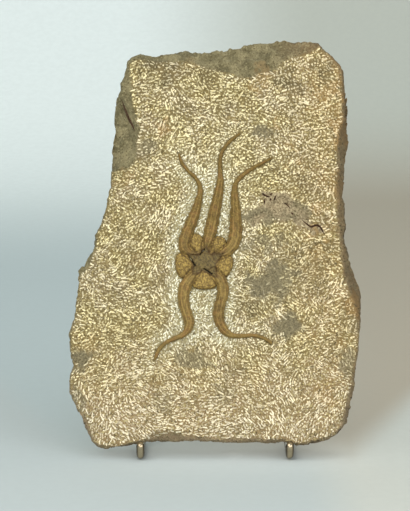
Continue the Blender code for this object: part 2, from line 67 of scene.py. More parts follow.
# How finely the slab is made.
RIM_RAYS, RIM_STEP = 1500, 0.6 * MM
RAY_START = 0.15  # how far from the slab's middle the rays towards its sides start
SIDE_RINGS, BACK_LEVEL_MM = 12, -17.85
SPARSE_MM, DENSE_MM, BACK_STEP_MM, DISC_STEP_MM = 2.1, 0.62, 2.0, 0.30
ARM_STEP_MM, ARM_SIDES = 0.2, 23
TRIES, CELL_MM = 130000, 4  # places tried for tool marks, and the cells that hold their neighbours
WIRE_SIDES = 24

# The part of the face that was worked with a point. What lies outside it is broken rock.
WORKED_MM = (
    (-34.8, 156.1), (-33.9, 149.1), (-33.7, 143.7), (-33.1, 138.8), (-31.8, 134.2), (-31.6, 132.2),
    (-30, 129.3), (-31.8, 123.6), (-31.6, 120.3), (-31.6, 116.7), (-34.8, 113.1), (-41.8, 112.3),
    (-43.2, 103.9), (-44.4, 97.1), (-45.7, 91.4), (-47.3, 86.1), (-47.6, 81.2), (-48.6, 78.8),
    (-49.9, 74.7), (-51.7, 71.6), (-55.1, 69.5), (-56, 63.5), (-56.3, 58.3), (-56.6, 53), (-57.8, 48.3),
    (-58.1, 42.2), (-57.4, 37.5), (-56.5, 33.8), (-56.8, 31.1), (-58, 27.5), (-57.8, 22.6), (-56.3, 18.2),
    (-54.7, 15.4), (-51.6, 13.9), (-49.8, 8.7), (-48.4, 3.5), (-44.6, 0.9), (-39.6, 0.1), (-34.4, 1.2),
    (-25, 4.7), (-18.6, 6.4), (-9.9, 5.1), (5.9, 4.1), (16.6, 4.4), (27.6, 3.4), (33.6, 1.9), (41, 3.5),
    (46.7, 5.8), (49.5, 9.3), (51.1, 14.3), (52.6, 20), (53.8, 25.2), (54.8, 30.7), (56, 37.5),
    (57.2, 43.4), (57.4, 48), (56.4, 53), (55.2, 58), (53.6, 62.4), (52, 67), (51.2, 71), (50.8, 75),
    (50.2, 81.2), (49.4, 86.9), (48.8, 94.2), (49, 99.9), (48.8, 104.7), (49.3, 110.9), (49.7, 115.3),
    (49.2, 120.3), (49.3, 125.6), (50.8, 130.6), (51.7, 136.7), (51.6, 142.9), (51.2, 149.1), (50, 155.3),
    (46.8, 159.2), (42.2, 162.9), (38.1, 160.2), (32.5, 158.6), (27, 156.4), (24, 152.6), (17.4, 152),
    (14, 149.4), (9.4, 150.6), (2.1, 153), (-3.6, 154.8), (-10.1, 156.1), (-16.6, 156.5), (-22.2, 157.3),
    (-26.3, 157.3), (-30.3, 158.2),
)
# A flake fell off here and left the rock bare, with a cracked edge and a few dark pits.
BARE_MM = (
    (18.8, 102.9), (22, 102.7), (24.5, 103.1), (26.5, 102.9), (29.5, 101.8), (31, 99.3), (34, 97.8),
    (36.8, 96.3), (38, 92.8), (38.5, 90.2), (42.5, 89.2), (43.5, 86.7), (40, 85.7), (37.5, 87.2),
    (35, 89.2), (32, 90.7), (28, 91.7), (23, 91.7), (18, 90.9), (13, 90.7), (11, 92.2), (11.5, 94.6),
    (14.5, 95.8), (18.8, 97), (19.5, 100.3),
)
# Cracks: points along each, then its width.
CRACKS_MM = (
    (((34.5, 92.2), (36.5, 90.5), (38.5, 89.2), (40.5, 89.7), (42.2, 89), (43.2, 87.2), (44, 85.7)), 0.9),
    (((27.4, 99), (28.8, 98.4), (30.2, 96.6)), 0.6),
    (((18.7, 102.8), (20, 102), (22.2, 101.1)), 0.8),
    (((20.1, 100.6), (19.7, 98)), 0.7),
    (((24.6, 102), (23.5, 99.7)), 0.7),
    (((-37.8, 141.7), (-36.5, 138), (-35, 134.1), (-33.4, 131), (-32.2, 127.8)), 0.9),
)
PITS_MM = ((20.9, 101.5), (22.6, 102.4), (22.3, 100.3), (38.7, 89), (31, 94.6))
# Blotches of colour: x, y, half width, half height, strength.
RUST_MM = (
    (-21.3, 131, 5.2, 3.2, 0.9), (-18.7, 128.4, 3, 2.4, 0.7), (-11.2, 157.6, 6, 2.2, 0.35),
    (19, 150.6, 5.4, 4.2, 0.55), (17, 143.9, 2.8, 3.2, 0.6), (25, 130.5, 2.8, 1.8, 0.7),
    (50.2, 145, 3.4, 10, 0.8), (51.5, 128, 4, 10, 0.8), (44.1, 144.5, 3.6, 4.2, 0.6),
    (32.2, 115.2, 3.8, 2.6, 0.7), (31.2, 121.3, 2.2, 2.2, 0.6), (55, 58.2, 2.8, 5, 1),
    (-38.2, 108.2, 6, 3, 0.5), (49.7, 158, 5, 4, 0.5), (40, 76.4, 4, 6, 0.4), (37.6, 69.5, 3, 3, 0.35),
    (44, 97, 5, 3, 0.6), (41, 87.2, 3, 2, 1), (-53, 42, 4, 4, 0.4), (44, 22, 7, 5, 0.5),
    (8, 133, 5, 2.5, 0.4), (-30, 76, 6, 3, 0.4), (50.6, 106, 3, 9, 0.6),
)
GREY_MM = (
    (21.4, 66.4, 9.4, 8, 1), (24.6, 73, 3.8, 3.6, 1), (31, 70.4, 6, 2.2, 0.8), (29.6, 48.6, 7.2, 6, 1),
    (26, 82.6, 3.2, 3, 0.7), (53.4, 34.4, 4.6, 6, 0.75), (-54, 20.4, 3, 8, 0.8),
    (-53.2, 36.6, 4.4, 4.4, 1), (-8.6, 36.2, 7.4, 4, 0.8), (18.5, 126.4, 3.2, 2.6, 0.9),
    (16.6, 93.6, 7.6, 3.2, 1), (28, 92.6, 7, 2, 0.9), (36.2, 95.6, 2.6, 3, 0.8), (-33, 122, 4, 6, 0.6),
    (-26, 122.6, 6, 3.4, 0.8), (13.4, 84, 3.4, 2.4, 0.7), (19, 82, 3.4, 2.2, 0.7), (3, 22, 6, 4, 0.4),
    (-20, 20, 5, 4, 0.4),
)
# Where the point left little: olive brown ground with few strokes.
BROWN_MM = (
    (-17, 153.6, 11, 4.6, 1), (-2, 150.6, 7, 3.6, 0.7), (-20.4, 148, 4.4, 3.4, 0.8),
    (28.6, 149.6, 4.2, 3.6, 1), (33.6, 143.6, 2, 5.6, 0.8), (45, 151.2, 3.2, 4.6, 0.9),
    (39.6, 155, 2.2, 3.4, 0.7), (30.4, 135.6, 3.6, 2.4, 0.6), (-40, 62, 5, 4, 0.6), (-33, 74, 6, 3.6, 0.6),
    (43, 82, 4.6, 3, 0.8), (35, 80, 4, 3.4, 0.7), (30, 96.6, 4.6, 2.2, 0.4), (40, 104, 6, 3.4, 0.6),
    (24, 112, 7, 3, 0.6), (41, 64, 5, 3.4, 0.7), (-38, 44, 6, 3.4, 0.6), (-22, 66, 4.6, 3, 0.5),
    (8, 32, 6, 3.4, 0.5), (-30, 98, 6, 3, 0.5), (-24, 155.4, 9, 4, 1), (4, 136, 6, 4, 0.6),
    (38, 70, 8, 8, 0.7), (14, 56, 7, 4.5, 0.7), (38, 105, 8, 5, 0.6), (41, 92, 5, 5, 0.6),
    (-27, 120, 6, 5, 0.6), (47, 40, 4, 6, 0.5), (36, 118, 5, 3, 0.5), (55.8, 56, 4.8, 12, 1),
    (30.6, 76.4, 4, 4, 0.6), (-28, 147, 5, 4, 0.5), (-14, 137, 6, 4, 0.5),
)

# The way the strokes run in places: x, y, degrees, and their share of short dots.
WAYS_MM = (
    (-46, 11, 98, 0.15), (-36.8, 5, -50, 0.1), (-33.6, 14, -42, 0.2), (-21.6, 12.6, -12, 0.2),
    (-16.4, 28, -40, 0.3), (-1.6, 32, -70, 0.3), (10.4, 24, 0, 0.6), (-14, 14, -3, 0.1),
    (11, 8.5, 55, 0.2), (12, 15, -15, 0.4), (26, 9, -60, 0), (19.6, 4.5, -45, 0.1), (46, 22.7, 5, 0.5),
    (50.4, 17, 80, 0.1), (36.4, 15.4, 88, 0.4), (-26, 147.5, 12, 0.3), (-16.8, 132, 42, 0.1),
    (-0.8, 142.6, 0, 0.2), (-12.4, 139.8, -50, 0.4), (-0.8, 130, 20, 0.3), (28.8, 137.8, -45, 0.5),
    (14.4, 131.7, 0, 0.7), (25.2, 127.3, -40, 0.6), (40, 130, 20, 0.7), (-40, 60, 0, 0.3),
    (-44, 46, 10, 0.3), (-36, 86, 30, 0.4), (-28, 106, 15, 0.4), (-20, 92, 60, 0.4), (42, 56, 5, 0.3),
    (36, 108, 20, 0.7), (16, 118, 35, 0.6), (43, 152, 20, 0.8), (47, 139, 0, 0.7), (34, 146, -40, 0.6),
)

# The star, as it is in the solids: arms from the disc to the tip, as x, y and width.
MOUTH_MM = (-4.3, 75.3)
ARMS_MM = {
    "arm_upper_left": (
        (-9.4, 77.6, 4.2), (-12.1, 80.4, 4.6), (-12, 84, 4.8), (-10.7, 87.6, 4.8),
        (-9.2, 91.5, 4.6), (-7.8, 95.3, 4), (-6.5, 99.9, 2.8), (-5.9, 103.1, 2.2), (-6.3, 106.4, 1.8),
        (-8.1, 109.3, 1.5), (-10.9, 111.9, 1.3), (-13.4, 115.3, 1.2), (-14.5, 118.6, 0.8),
    ),
    "arm_upper_middle": (
        (-3.7, 80.1, 3.7), (-2.4, 84.8, 4.7), (-1.3, 89.5, 5), (-0.4, 94, 4.7), (0.6, 98.5, 4.3),
        (1.5, 103, 3.7), (2.1, 107, 2.9), (2.1, 110.8, 1.9), (2, 114.7, 1.6), (2.6, 118.8, 1.5),
        (4.6, 122.3, 1.4), (7.5, 125.1, 1.2), (10.1, 127, 0.8),
    ),
    "arm_upper_right": (
        (1, 77.3, 3.8), (5, 79.5, 4.6), (7.5, 82.9, 5.2), (8.3, 87.2, 5.2), (8.3, 91.4, 4.9),
        (8.3, 95.2, 4.3), (8.1, 99.1, 3.6), (7.8, 103, 2.7), (8.2, 106.1, 2.1), (9.7, 108.6, 1.8),
        (12.2, 110.9, 1.6), (15.9, 113.3, 1.4), (19.6, 115.3, 1.2), (22.9, 117.1, 0.8),
    ),
    "arm_lower_left": (
        (-7.6, 70.9, 3.8), (-9.8, 68.2, 4.6), (-11.7, 65.1, 4.8), (-12.6, 61.1, 4.7),
        (-12.2, 57.2, 4.5), (-11.1, 53.7, 4.2), (-10.3, 50.6, 4), (-10.9, 47.7, 3.2),
        (-13, 45.4, 2.2), (-16.4, 43.9, 1.8), (-19.8, 42.2, 1.6), (-22.2, 39.8, 1.5),
        (-23.5, 36.9, 1.3), (-24.1, 35.3, 0.9),
    ),
    "arm_lower_right": (
        (-0.6, 70.6, 3.8), (1.6, 68.2, 4.6), (3, 65.3, 4.8), (3.1, 61.7, 4.6), (2, 57.9, 4.5),
        (1.4, 54, 4.4), (2, 50.3, 4), (4.1, 47, 3.3), (6.9, 45.3, 2.2), (10.7, 45.1, 1.7),
        (15.1, 45.3, 1.4), (19, 44.3, 1.3), (21.5, 42.9, 1.3), (22.6, 41.9, 0.9),
    ),
}
# Each lobe: its middle, half width, half length, tilt and power. Each slit: its ends and width.
LOBES_MM = (
    ((-7.8, 81.9), 3.4, 4.4, 0, 2.3),
    ((1.4, 81.6), 3.1, 3.6, -0.3, 2.3),
    ((3.9, 73), 3, 4.9, -0.4, 2.3),
    ((-4.3, 67.8), 5.2, 4.1, 0, 3.2),
    ((-12.6, 73.4), 3.3, 5.4, 0.15, 2.3),
)
DISC_CORE_MM = 6.6
JAWS_MM = (
    (-11.2, 78), (-6.4, 77.5), (-3.5, 81), (-1.9, 77.6), (3.4, 78.2), (0.3, 74.1), (0.6, 68.3),
    (-4.8, 71.1), (-8.9, 69.5), (-8.7, 74.1),
)
SLITS_MM = (
    ((-9.9, 76.5), (-8, 73.3), 0.7),
    ((-4.2, 71.9), (-1.2, 69.9), 0.7),
    ((-6, 77.7), (-4.4, 79.8), 0.4),
)


def tone(red, green, blue):
    """The linear colour of a colour given as 0 to 255 on a screen."""
    share = np.array((red, green, blue)) / 255.0
    linear = np.where(share <= 0.04045, share / 12.92, ((share + 0.055) / 1.055) ** 2.4)
    return (*linear.tolist(), 1.0)


class Shader:
    """A Principled material built up node by node. Sizes are in metres, colours 0 to 255 on a screen."""

    def __init__(self, name, roughness, metallic=0):
        self.material = bpy.data.materials.new(name)
        self.material.use_nodes = True
        self.tree = self.material.node_tree
        self.surface = self.tree.nodes["Principled BSDF"].inputs
        self.put(self.surface["Roughness"], roughness)
        self.put(self.surface["Metallic"], metallic)
        self.place = self.node("ShaderNodeTexCoord").outputs["Object"]

    def put(self, socket, value):
        """The value is another node's output, the name of an attribute, a colour or a number."""
        if isinstance(value, str):
            value = self.node("ShaderNodeAttribute", attribute_name=value).outputs["Fac"]
        if isinstance(value, bpy.types.NodeSocket):
            self.tree.links.new(value, socket)
        else:
            socket.default_value = tone(*value) if isinstance(value, tuple) else value

    def node(self, kind, inputs=(), **settings):
        made = self.tree.nodes.new(kind)
        for key, value in settings.items():
            setattr(made, key, value)
        for key, value in dict(inputs).items():
            self.put(made.inputs[key], value)
        return made

    def noise(self, size, detail=2, roughness=0.55):
        inputs = {"Vector": self.place, "Scale": 1 / size, "Detail": detail, "Roughness": roughness}
        return self.node("ShaderNodeTexNoise", inputs).outputs["Fac"]

    def cells(self, size):
        inputs = {"Vector": self.place, "Scale": 1 / size}
        return self.node("ShaderNodeTexVoronoi", inputs).outputs["Distance"]

    def split(self, vector):
        return self.node("ShaderNodeSeparateXYZ", {0: vector}).outputs

    def fit(self, value, low, high, to_low=0, to_high=1):
        inputs = enumerate((value, low, high, to_low, to_high))
        return self.node("ShaderNodeMapRange", inputs, interpolation_type="SMOOTHSTEP").outputs["Result"]

    def sum(self, kind, first, second=0):
        return self.node("ShaderNodeMath", {0: first, 1: second}, operation=kind).outputs["Value"]

    def mix(self, share, first, second, blend="MIX"):
        inputs = {"Factor": share, 6: first, 7: second}
        return self.node("ShaderNodeMix", inputs, data_type="RGBA", blend_type=blend).outputs[2]

    def stain(self, base, where, share, colour):
        """The base, with a share of another colour over it where an attribute or an output says."""
        return self.mix(self.sum("MULTIPLY", where, share), base, colour)

    def painted(self, colour, *bumps):
        """The material in that colour, with bumps: the output, depth and strength of each."""
        self.put(self.surface["Base Color"], colour)
        normal = {}
        for height, depth, strength in bumps:
            inputs = {"Strength": strength, "Distance": depth, "Height": height, **normal}
            normal = {"Normal": self.node("ShaderNodeBump", inputs).outputs["Normal"]}
            self.put(self.surface["Normal"], normal["Normal"])
        return self.material


def stone_material():
    """Greenish tan siltstone, pale where the point crushed it, stained by rust in places, with painted
    shade on its right-hand side and in its hollows.
    """
    shader = Shader("worked_siltstone", 0.92)
    mix, fit, stain, spots = shader.mix, shader.fit, shader.stain, shader.noise
    broad, drifts = fit(spots(0.012, 3), 0.38, 0.62), fit(spots(0.007), 0.38, 0.62)
    fine, grain = spots(0.0009, 2, 0.6), spots(0.0004, 2, 0.6)
    ground = mix(broad, (124, 106, 60), (131, 114, 80))
    ground = stain(ground, "warm", 0.5, (150, 120, 72))
    ground = stain(ground, drifts, 0.5, (118, 104, 62))
    ground = stain(ground, "pale", 0.4, (150, 131, 102))
    ground = mix(fit(fine, 0.48, 0.72), ground, (184, 168, 118))
    ground = stain(ground, "brown", 0.8, mix(drifts, (92, 80, 50), (126, 109, 70)))
    broken = mix(fit(spots(0.006, 3), 0.35, 0.65), (100, 92, 62), (136, 126, 92))
    broken = stain(broken, "warm", 0.6, (140, 112, 78))
    broken = stain(broken, "pale", 0.4, (158, 138, 114))
    broken = mix(fit(fine, 0.45, 0.75, 0, 0.6), broken, (166, 156, 118))
    bare = mix(fit(spots(0.003, 3), 0.35, 0.65), (118, 103, 76), (148, 131, 100))
    bare = mix(fit(fine, 0.42, 0.66), bare, (178, 162, 128))
    colour = mix("bare", mix("broken", ground, broken), bare)
    colour = mix("grey", colour, mix(fit(fine, 0.35, 0.65), (104, 95, 70), (138, 127, 96)))
    rust = fit(shader.sum("MULTIPLY", "rust", fit(fine, 0.2, 0.6, 0.6, 1)), 0.05, 0.9)
    rusty = mix("broken", (152, 120, 68), (136, 108, 66))
    colour = stain(colour, rust, fit("broken", 0, 1, 0.6, 0.9), rusty)
    colour = stain(colour, "halo", 0.4, (196, 190, 150))
    pale = mix(broad, (254, 241, 192), (254, 242, 208))
    pale = stain(pale, "warm", 0.5, (252, 232, 192))
    pale = stain(pale, "pale", 0.55, (254, 246, 226))
    pale = stain(pale, rust, 0.5, (236, 206, 156))
    pale = mix("halo", pale, (254, 252, 232))
    flecks = shader.sum("MULTIPLY", fit(shader.cells(0.0011), 0.20, 0.34, 1, 0), "worked")
    colour = mix("chip", stain(colour, flecks, 0.5, pale), pale)
    pits = fit(spots(0.0008, 1), 0.56, 0.70)
    colour = stain(colour, pits, fit("chip", 0, 0.5, 0.85, 0.25), (84, 72, 42))
    # Painted shade: darker on the right-hand side, along the broken right edge and round the star's foot,
    # and dark brown in the pits and cracks.
    colour = mix("pit", mix("painted_shade", colour, (52, 42, 24)), (84, 58, 34))
    colour = mix(fit(grain, 0.35, 0.65, 0, 0.25), colour, (96, 84, 52), "MULTIPLY")
    return shader.painted(colour, (fine, 0.0003, 0.6), (grain, 0.00012, 0.5))


def fossil_material():
    """Brown calcite plates, deeper on the upper arms and darker in their seams, with painted shade along
    their edges and in the slits and a painted highlight along the crests of the arms.
    """
    shader = Shader("fossil_plates", 0.72)
    mix, fit, stain = shader.mix, shader.fit, shader.stain
    fine = shader.noise(0.0008, 3, 0.6)
    plates = mix(fit(shader.noise(0.005), 0.35, 0.65), (113, 91, 38), (137, 113, 55))
    plates = stain(plates, "deep", 0.65, (106, 83, 20))
    plates = mix(fit(shader.noise(0.0028, 3), 0.46, 0.66, 0, 0.55), plates, (142, 101, 50))
    plates = mix(fit(fine, 0.45, 0.75, 0, 0.7), plates, (168, 141, 74))
    # Painted highlight along the crests of the arms.
    plates = stain(plates, "crest_highlight", 0.3, (168, 140, 78))
    colour = mix("lobe", plates, mix(fit(fine, 0.34, 0.66), (110, 87, 32), (180, 151, 77)))
    colour = mix("mouth", colour, mix(fit(fine, 0.35, 0.65), (74, 60, 28), (116, 98, 50)))
    # Painted shade: the slits between the jaws are painted near black.
    # Seams, and painted shade along the edges of the plates, in dark brown.
    colour = mix("slit", mix("seam_and_edge_shade", colour, (76, 54, 20)), (16, 12, 6))
    return shader.painted(colour, (fine, 0.00025, 0.6), (shader.noise(0.0003, 1), 0.0001, 0.5))


def wire_material():
    """Bright plated wire, with the faint drawing lines and dull spots of handling, and a painted reflection
    that makes it darker where it faces left or right.
    """
    shader = Shader("plated_wire_polish", 0.2, 1)
    dull, fine = shader.noise(0.006, 3), shader.noise(0.0012)
    facing = shader.split(shader.node("ShaderNodeTexCoord").outputs["Normal"])
    # Painted reflection: the wire is darker where it faces left or right.
    sides = shader.fit(shader.sum("ABSOLUTE", facing["X"]), 0.35, 0.92)
    plate = shader.mix(shader.fit(dull, 0.4, 0.7), (184, 168, 140), (146, 131, 104))
    rough = shader.fit(shader.sum("ADD", dull, fine), 0.6, 1.4, 0.08, 0.28)
    shader.put(shader.surface["Roughness"], rough)
    return shader.painted(shader.mix(sides, plate, (72, 58, 38)), (fine, 0.00006, 0.4))


def paper_material():
    """Pale paper, with painted light and shade: the shelf in front, a dimmer band of painted shade behind
    it, olive on the right with a painted shadow, and a wall with painted light on the left.
    """
    shader = Shader("backdrop_paper", 0.9)
    mix, fit, sum_of = shader.mix, shader.fit, shader.sum
    place = shader.split(shader.place)
    across, back = place["X"], place["Y"]
    right = fit(across, -0.08, 0.09)
    # Painted light on the wall, bright on the left, and a painted shade band behind the shelf, olive on the
    # right as a painted shadow.
    wall_painted_light = mix(right, (239, 246, 244), (197, 200, 190))
    painted_shade_band = mix(right, (181, 193, 194), (176, 167, 150))
    shelf = mix(fit(across, 0.03, 0.06), (183, 192, 192), (197, 200, 193))
    colour = mix(fit(back, fit(right, 0, 1, 0.34, 0.62), 0.86), painted_shade_band, wall_painted_light)
    away = sum_of("MINIMUM", sum_of("MAXIMUM", sum_of("ABSOLUTE", across), 0.055), 0.10)
    edge = sum_of("SUBTRACT", back, sum_of("MULTIPLY", away, 2.8))
    colour = mix(fit(edge, -0.212, -0.152), shelf, colour)
    return shader.painted(mix(fit(shader.noise(0.004), 0.3, 0.7, 0, 0.05), colour, (150, 155, 152)))


def waves(points, size, seed):
    """Smooth noise, about -0.5 to 0.5, at an array of points in millimetres."""
    shift = Vector((seed, seed, seed))
    return np.array([noise.noise(Vector((*point, 0, 0)[:3]) / size + shift) for point in points])


def ripples(points, *rows):
    """A sum of waves: the size, seed and strength of each."""
    return sum(waves(points, size, seed) * strength for size, seed, strength in rows)


def drift(points, size, reach, seeds=(3.1, 7.7)):
    """A wandering shift for each point, in x and y."""
    return np.column_stack([waves(points, size, seed) for seed in seeds]) * reach


def smooth(value, low, high):
    share = np.clip((value - low) / (high - low), 0, 1)
    return share * share * (3 - 2 * share)


def gauss(value, spread):
    return np.exp(-np.square(value / spread))


def norm(vectors):
    return np.linalg.norm(vectors, axis=1)


def sideways(line):
    """The way to the left at each point of a line, one long."""
    way = np.gradient(line[:, :2], axis=0)
    return np.column_stack([-way[:, 1], way[:, 0]]) / norm(way)[:, None]


def cad_tree(name):
    """The surface of a CAD node, in the slab's frame, for rays."""
    into = LEANING.inverted()
    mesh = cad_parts[name].data
    corners = [into @ v.co for v in mesh.vertices]
    return BVHTree.FromPolygons(corners, [tuple(p.vertices) for p in mesh.polygons])


def segment_distance(points, line, closed=False):
    """Distance from each point to a line of points."""
    line = np.array(line, float)
    ends = np.roll(line, -1, axis=0) if closed else line[1:]
    best = np.full(len(points), np.inf)
    for a, b in zip(line, ends):
        along = b - a
        share = np.clip((points - a) @ along / max(along @ along, 1e-12), 0, 1)
        best = np.minimum(best, norm(points - (a + share[:, None] * along)))
    return best


def inside(points, polygon):
    polygon = np.array(polygon, float)
    within = np.zeros(len(points), bool)
    for (ax, ay), (bx, by) in zip(polygon, np.roll(polygon, -1, axis=0)):
        crosses = (ay > points[:, 1]) != (by > points[:, 1])
        rise = by - ay if by != ay else 1e-12
        within ^= crosses & (points[:, 0] < ax + (points[:, 1] - ay) / rise * (bx - ax))
    return within


def depth_inside(points, outline, more=0):
    """Distance from each point to a closed outline, below zero outside it."""
    away = segment_distance(points, outline, True) + more
    return np.where(inside(points, outline), away, -away)


def smooth_path(rows, stations):
    rows = np.array(rows, float)
    padded = np.vstack([2 * rows[0] - rows[1], rows, 2 * rows[-1] - rows[-2]])
    found = []
    for at in np.linspace(0, len(rows) - 1, stations):
        i = min(int(at), len(rows) - 2)
        t = at - i
        a, b, c, d = padded[i : i + 4]
        cubic = 3 * b - a - 3 * c + d
        found.append(0.5 * (2 * b + (c - a) * t + (2 * a - 5 * b + 4 * c - d) * t**2 + cubic * t**3))
    return np.array(found)


def meshed(points, outlines, kind):
    """Points and triangles of outlines with loose points among them, and where each of both came from."""
    points = [Vector(point) for point in points]
    points, _, triangles, origins, _, owners = delaunay_2d_cdt(points, [], outlines, kind, 1e-5)
    return np.array([*map(tuple, points)]), [*map(tuple, triangles)], origins, owners


ARM_LINES = {name: smooth_path(rows, 120) for name, rows in ARMS_MM.items()}


def lobe_share(points):
    """1 at the top of a lobe of the disc, 0 at its edge and less beyond."""
    best = np.full(len(points), -9.0)
    for middle, half_width, half_length, tilt, power in LOBES_MM:
        off = points - middle
        across = off[:, 0] * math.cos(tilt) + off[:, 1] * math.sin(tilt)
        along = off[:, 1] * math.cos(tilt) - off[:, 0] * math.sin(tilt)
        best = np.maximum(best, 1 - abs(across / half_width) ** power - abs(along / half_length) ** power)
    return best


def arm_gap(points, stations=50):
    """Distance to the edge of the nearest arm, of which only the first stations count, below zero on it."""
    best = np.full(len(points), np.inf)
    for line in ARM_LINES.values():
        for x, y, width in line[:stations]:
            best = np.minimum(best, norm(points - (x, y)) - width / 2)
    return best


def star_distance(points):
    """Distance in millimetres from the edge of the star, below zero on it."""
    core = norm(points - MOUTH_MM) - DISC_CORE_MM
    return np.minimum(np.minimum(core, -1.5 * lobe_share(points)), arm_gap(points, None))


def edge_of_work(points):
    """Distance to the edge of the worked face, below zero outside it."""
    return depth_inside(points, WORKED_MM, waves(points, 2.5, 4) * 0.8)


def bare_depth(points):
    """How far inside the scar each point is, by a ragged edge."""
    return depth_inside(points + drift(points, 2.2, 2.2), BARE_MM)


def jaw_depth(points):
    """How far inside the star-shaped frame of the jaws each point is."""
    return depth_inside(points, JAWS_MM)


def worked_at(points):
    return inside(points, WORKED_MM) & (bare_depth(points) < 0)


def blotches(points, table):
    """0 to 1, from ragged ovals of colour."""
    shifted = points + (drift(points, 5, 5) + drift(points, 1.6, 2, (1.3, 9.2)))
    best = 0
    for x, y, half_width, half_height, strength in table:
        away = norm((shifted - (x, y)) / (half_width, half_height))
        best = np.maximum(best, strength * smooth(1.25 - away, 0, 0.7))
    return best


def patchwork(points, chance):
    """Each patch of the face was worked its own way: the direction of its strokes and its share of dots."""
    low, high = points.min(axis=0), points.max(axis=0)
    patches = low + chance.random((300, 2)) * (high - low)
    x, y, degrees, share = np.array(WAYS_MM).T
    near = gauss(np.linalg.norm(patches[:, None] - np.column_stack([x, y]), axis=2), 9)
    wander = waves(patches, 18, 5.5) * 2.6 * math.pi + 0.7
    turn = (near * np.exp(2j * np.radians(degrees))).sum(axis=1) + 0.15 * np.exp(2j * wander)
    ways = np.angle(turn) / 2 + chance.normal(0, 0.45, len(patches))
    dots = (near @ share + 0.3 * (0.25 + 0.3 * smooth(patches[:, 1], 40, 120))) / (near.sum(axis=1) + 0.3)
    dots = np.clip(dots + 0.08 + chance.uniform(-0.15, 0.15, len(patches)), 0.05, 0.8)
    tree = KDTree(len(patches))
    for i, patch in enumerate(patches):
        tree.insert((*patch, 0), i)
    tree.balance()
    nearest = [tree.find((x, y, 0))[1] for x, y in points + drift(points, 3, 4)]
    return ways[nearest], dots[nearest]


class Marks:
    """Polygons pressed into the face: tool marks, cracks and pits. All in millimetres."""

    def __init__(self):
        self.points, self.faces, self.depth, self.tone = [], [], [], []
        self.chance = np.random.default_rng(21)

    def add(self, outline, middle, depth, shade):
        start = len(self.points)
        self.points += [*map(tuple, outline), *map(tuple, middle)]
        self.depth += [0] * len(outline) + [depth] * len(middle)
        self.faces.append(list(range(start, start + len(outline))))
        self.tone.append(shade)

    def stroke(self, at, angle, length, width, bend, depth, shade):
        along = np.array((math.cos(angle), math.sin(angle)))
        left = np.array((-along[1], along[0]))
        swerve = self.chance.normal(0, 0.18) * max(length - 1, 0)

        def place(share, side):
            off = bend * (share * share - 0.4) + swerve * share * (1 - share * share)
            return at + along * share * length / 2 + left * (side * width / 2 + off)

        if length < 1.05:
            corners = np.array(((-0.9, -0.5), (0.5, -1), (0.9, 0.5), (-0.5, 1)))
        else:
            corners = np.array(((-1, 0), (-0.55, -0.9), (0.6, -0.9), (1, 0.1), (0.55, 0.9), (-0.6, 0.9)))
        corners += self.chance.uniform(-1, 1, corners.shape) * (0.12, 0.28)
        self.add([place(*corner) for corner in corners], [place(0, 0)], depth, shade)

    def crack(self, line, width):
        line = smooth_path(line, len(line) * 3)
        share = np.sin(np.linspace(0.12, math.pi - 0.12, len(line)))[:, None] * width / 2
        side = sideways(line) * share
        # The crack's tone below zero paints it dark: painted shade in the crack.
        self.add(np.vstack([line - side, (line + side)[::-1]]), line[1:-1], 0.8, -1)


def tool_marks(marks, ring_mm):
    """Short strokes of a pointed tool, side by side, finer close to the fossil."""
    chance = np.random.default_rng(11)
    low, high = np.min(WORKED_MM, axis=0), np.max(WORKED_MM, axis=0)
    tries = low + chance.random((TRIES, 2)) * (high - low)
    tries = tries[worked_at(tries) & inside(tries, ring_mm)]
    from_rim, from_star = segment_distance(tries, ring_mm, True), star_distance(tries)
    kept = (from_rim > 0.9) & (from_star > 0.28)
    tries, from_rim, from_star = tries[kept], from_rim[kept], from_star[kept]
    from_edge = segment_distance(tries, WORKED_MM, True)
    count, up = len(tries), tries[:, 1]
    ways, dots = patchwork(tries, chance)
    angles = ways + chance.normal(0, 0.26, count)
    bare = np.maximum(blotches(tries, RUST_MM) * 0.35, blotches(tries, GREY_MM) * 1.08)
    bare = np.maximum(bare, blotches(tries, BROWN_MM) * 0.8)
    bare = np.maximum(bare, 0.6 * smooth(waves(tries, 4.5, 8.8), 0.08, 0.3) * smooth(from_star, 3, 8))
    kind = chance.random(count)
    close, coarse = 1 - smooth(from_star, 1, 6), smooth(up, 70, 130)
    lengths = np.select([kind < dots, kind < dots + (1 - dots) * 0.55], [0.85, 1.4], 2.3)
    lengths = lengths * chance.uniform(0.8, 1.25, count) * (1 - 0.2 * close)
    lengths = np.minimum(lengths, 2 * (from_rim - 0.5))
    widths = chance.uniform(0.38, 0.64, count) * np.where(kind < dots, 1.25, 1) * (1 + 0.16 * coarse)
    rooms = chance.uniform(0.20, 0.50, count) * (1 - 0.55 * close) * (1 + 0.2 * coarse)
    rooms *= 0.82 + 0.18 * smooth(up, 20, 60)
    cells = {}
    for i, at in enumerate(tries):
        if from_edge[i] < widths[i] * 0.6 or chance.random() < 0.92 * bare[i]:
            continue
        column, row = (int(number // CELL_MM) for number in at)
        beside = [(column + dx, row + dy) for dx in (-1, 0, 1) for dy in (-1, 0, 1)]
        crowd = [j for cell in beside for j in cells.get(cell, ())]
        if crowd and chance.random() > 0.035:
            off = tries[crowd] - at
            turn_x, turn_y = math.cos(angles[i]), math.sin(angles[i])
            reach = 0.5 * (lengths[i] + lengths[crowd]) * 0.9 + 0.1
            room = 0.5 * (widths[i] + widths[crowd]) + rooms[i]
            if ((off @ (turn_x, turn_y) / reach) ** 2 + (off @ (-turn_y, turn_x) / room) ** 2 < 1).any():
                continue
        cells.setdefault((column, row), []).append(i)
        shade = chance.choice((0.2, 0.45, 0.7, 0.9, 1)) ** (1 - 0.4 * coarse[i]) * (1 - 0.5 * bare[i])
        bend = chance.normal(0, 0.14) * lengths[i] / 2
        marks.stroke(at, angles[i], lengths[i], widths[i], bend, chance.uniform(0.16, 0.34), shade)


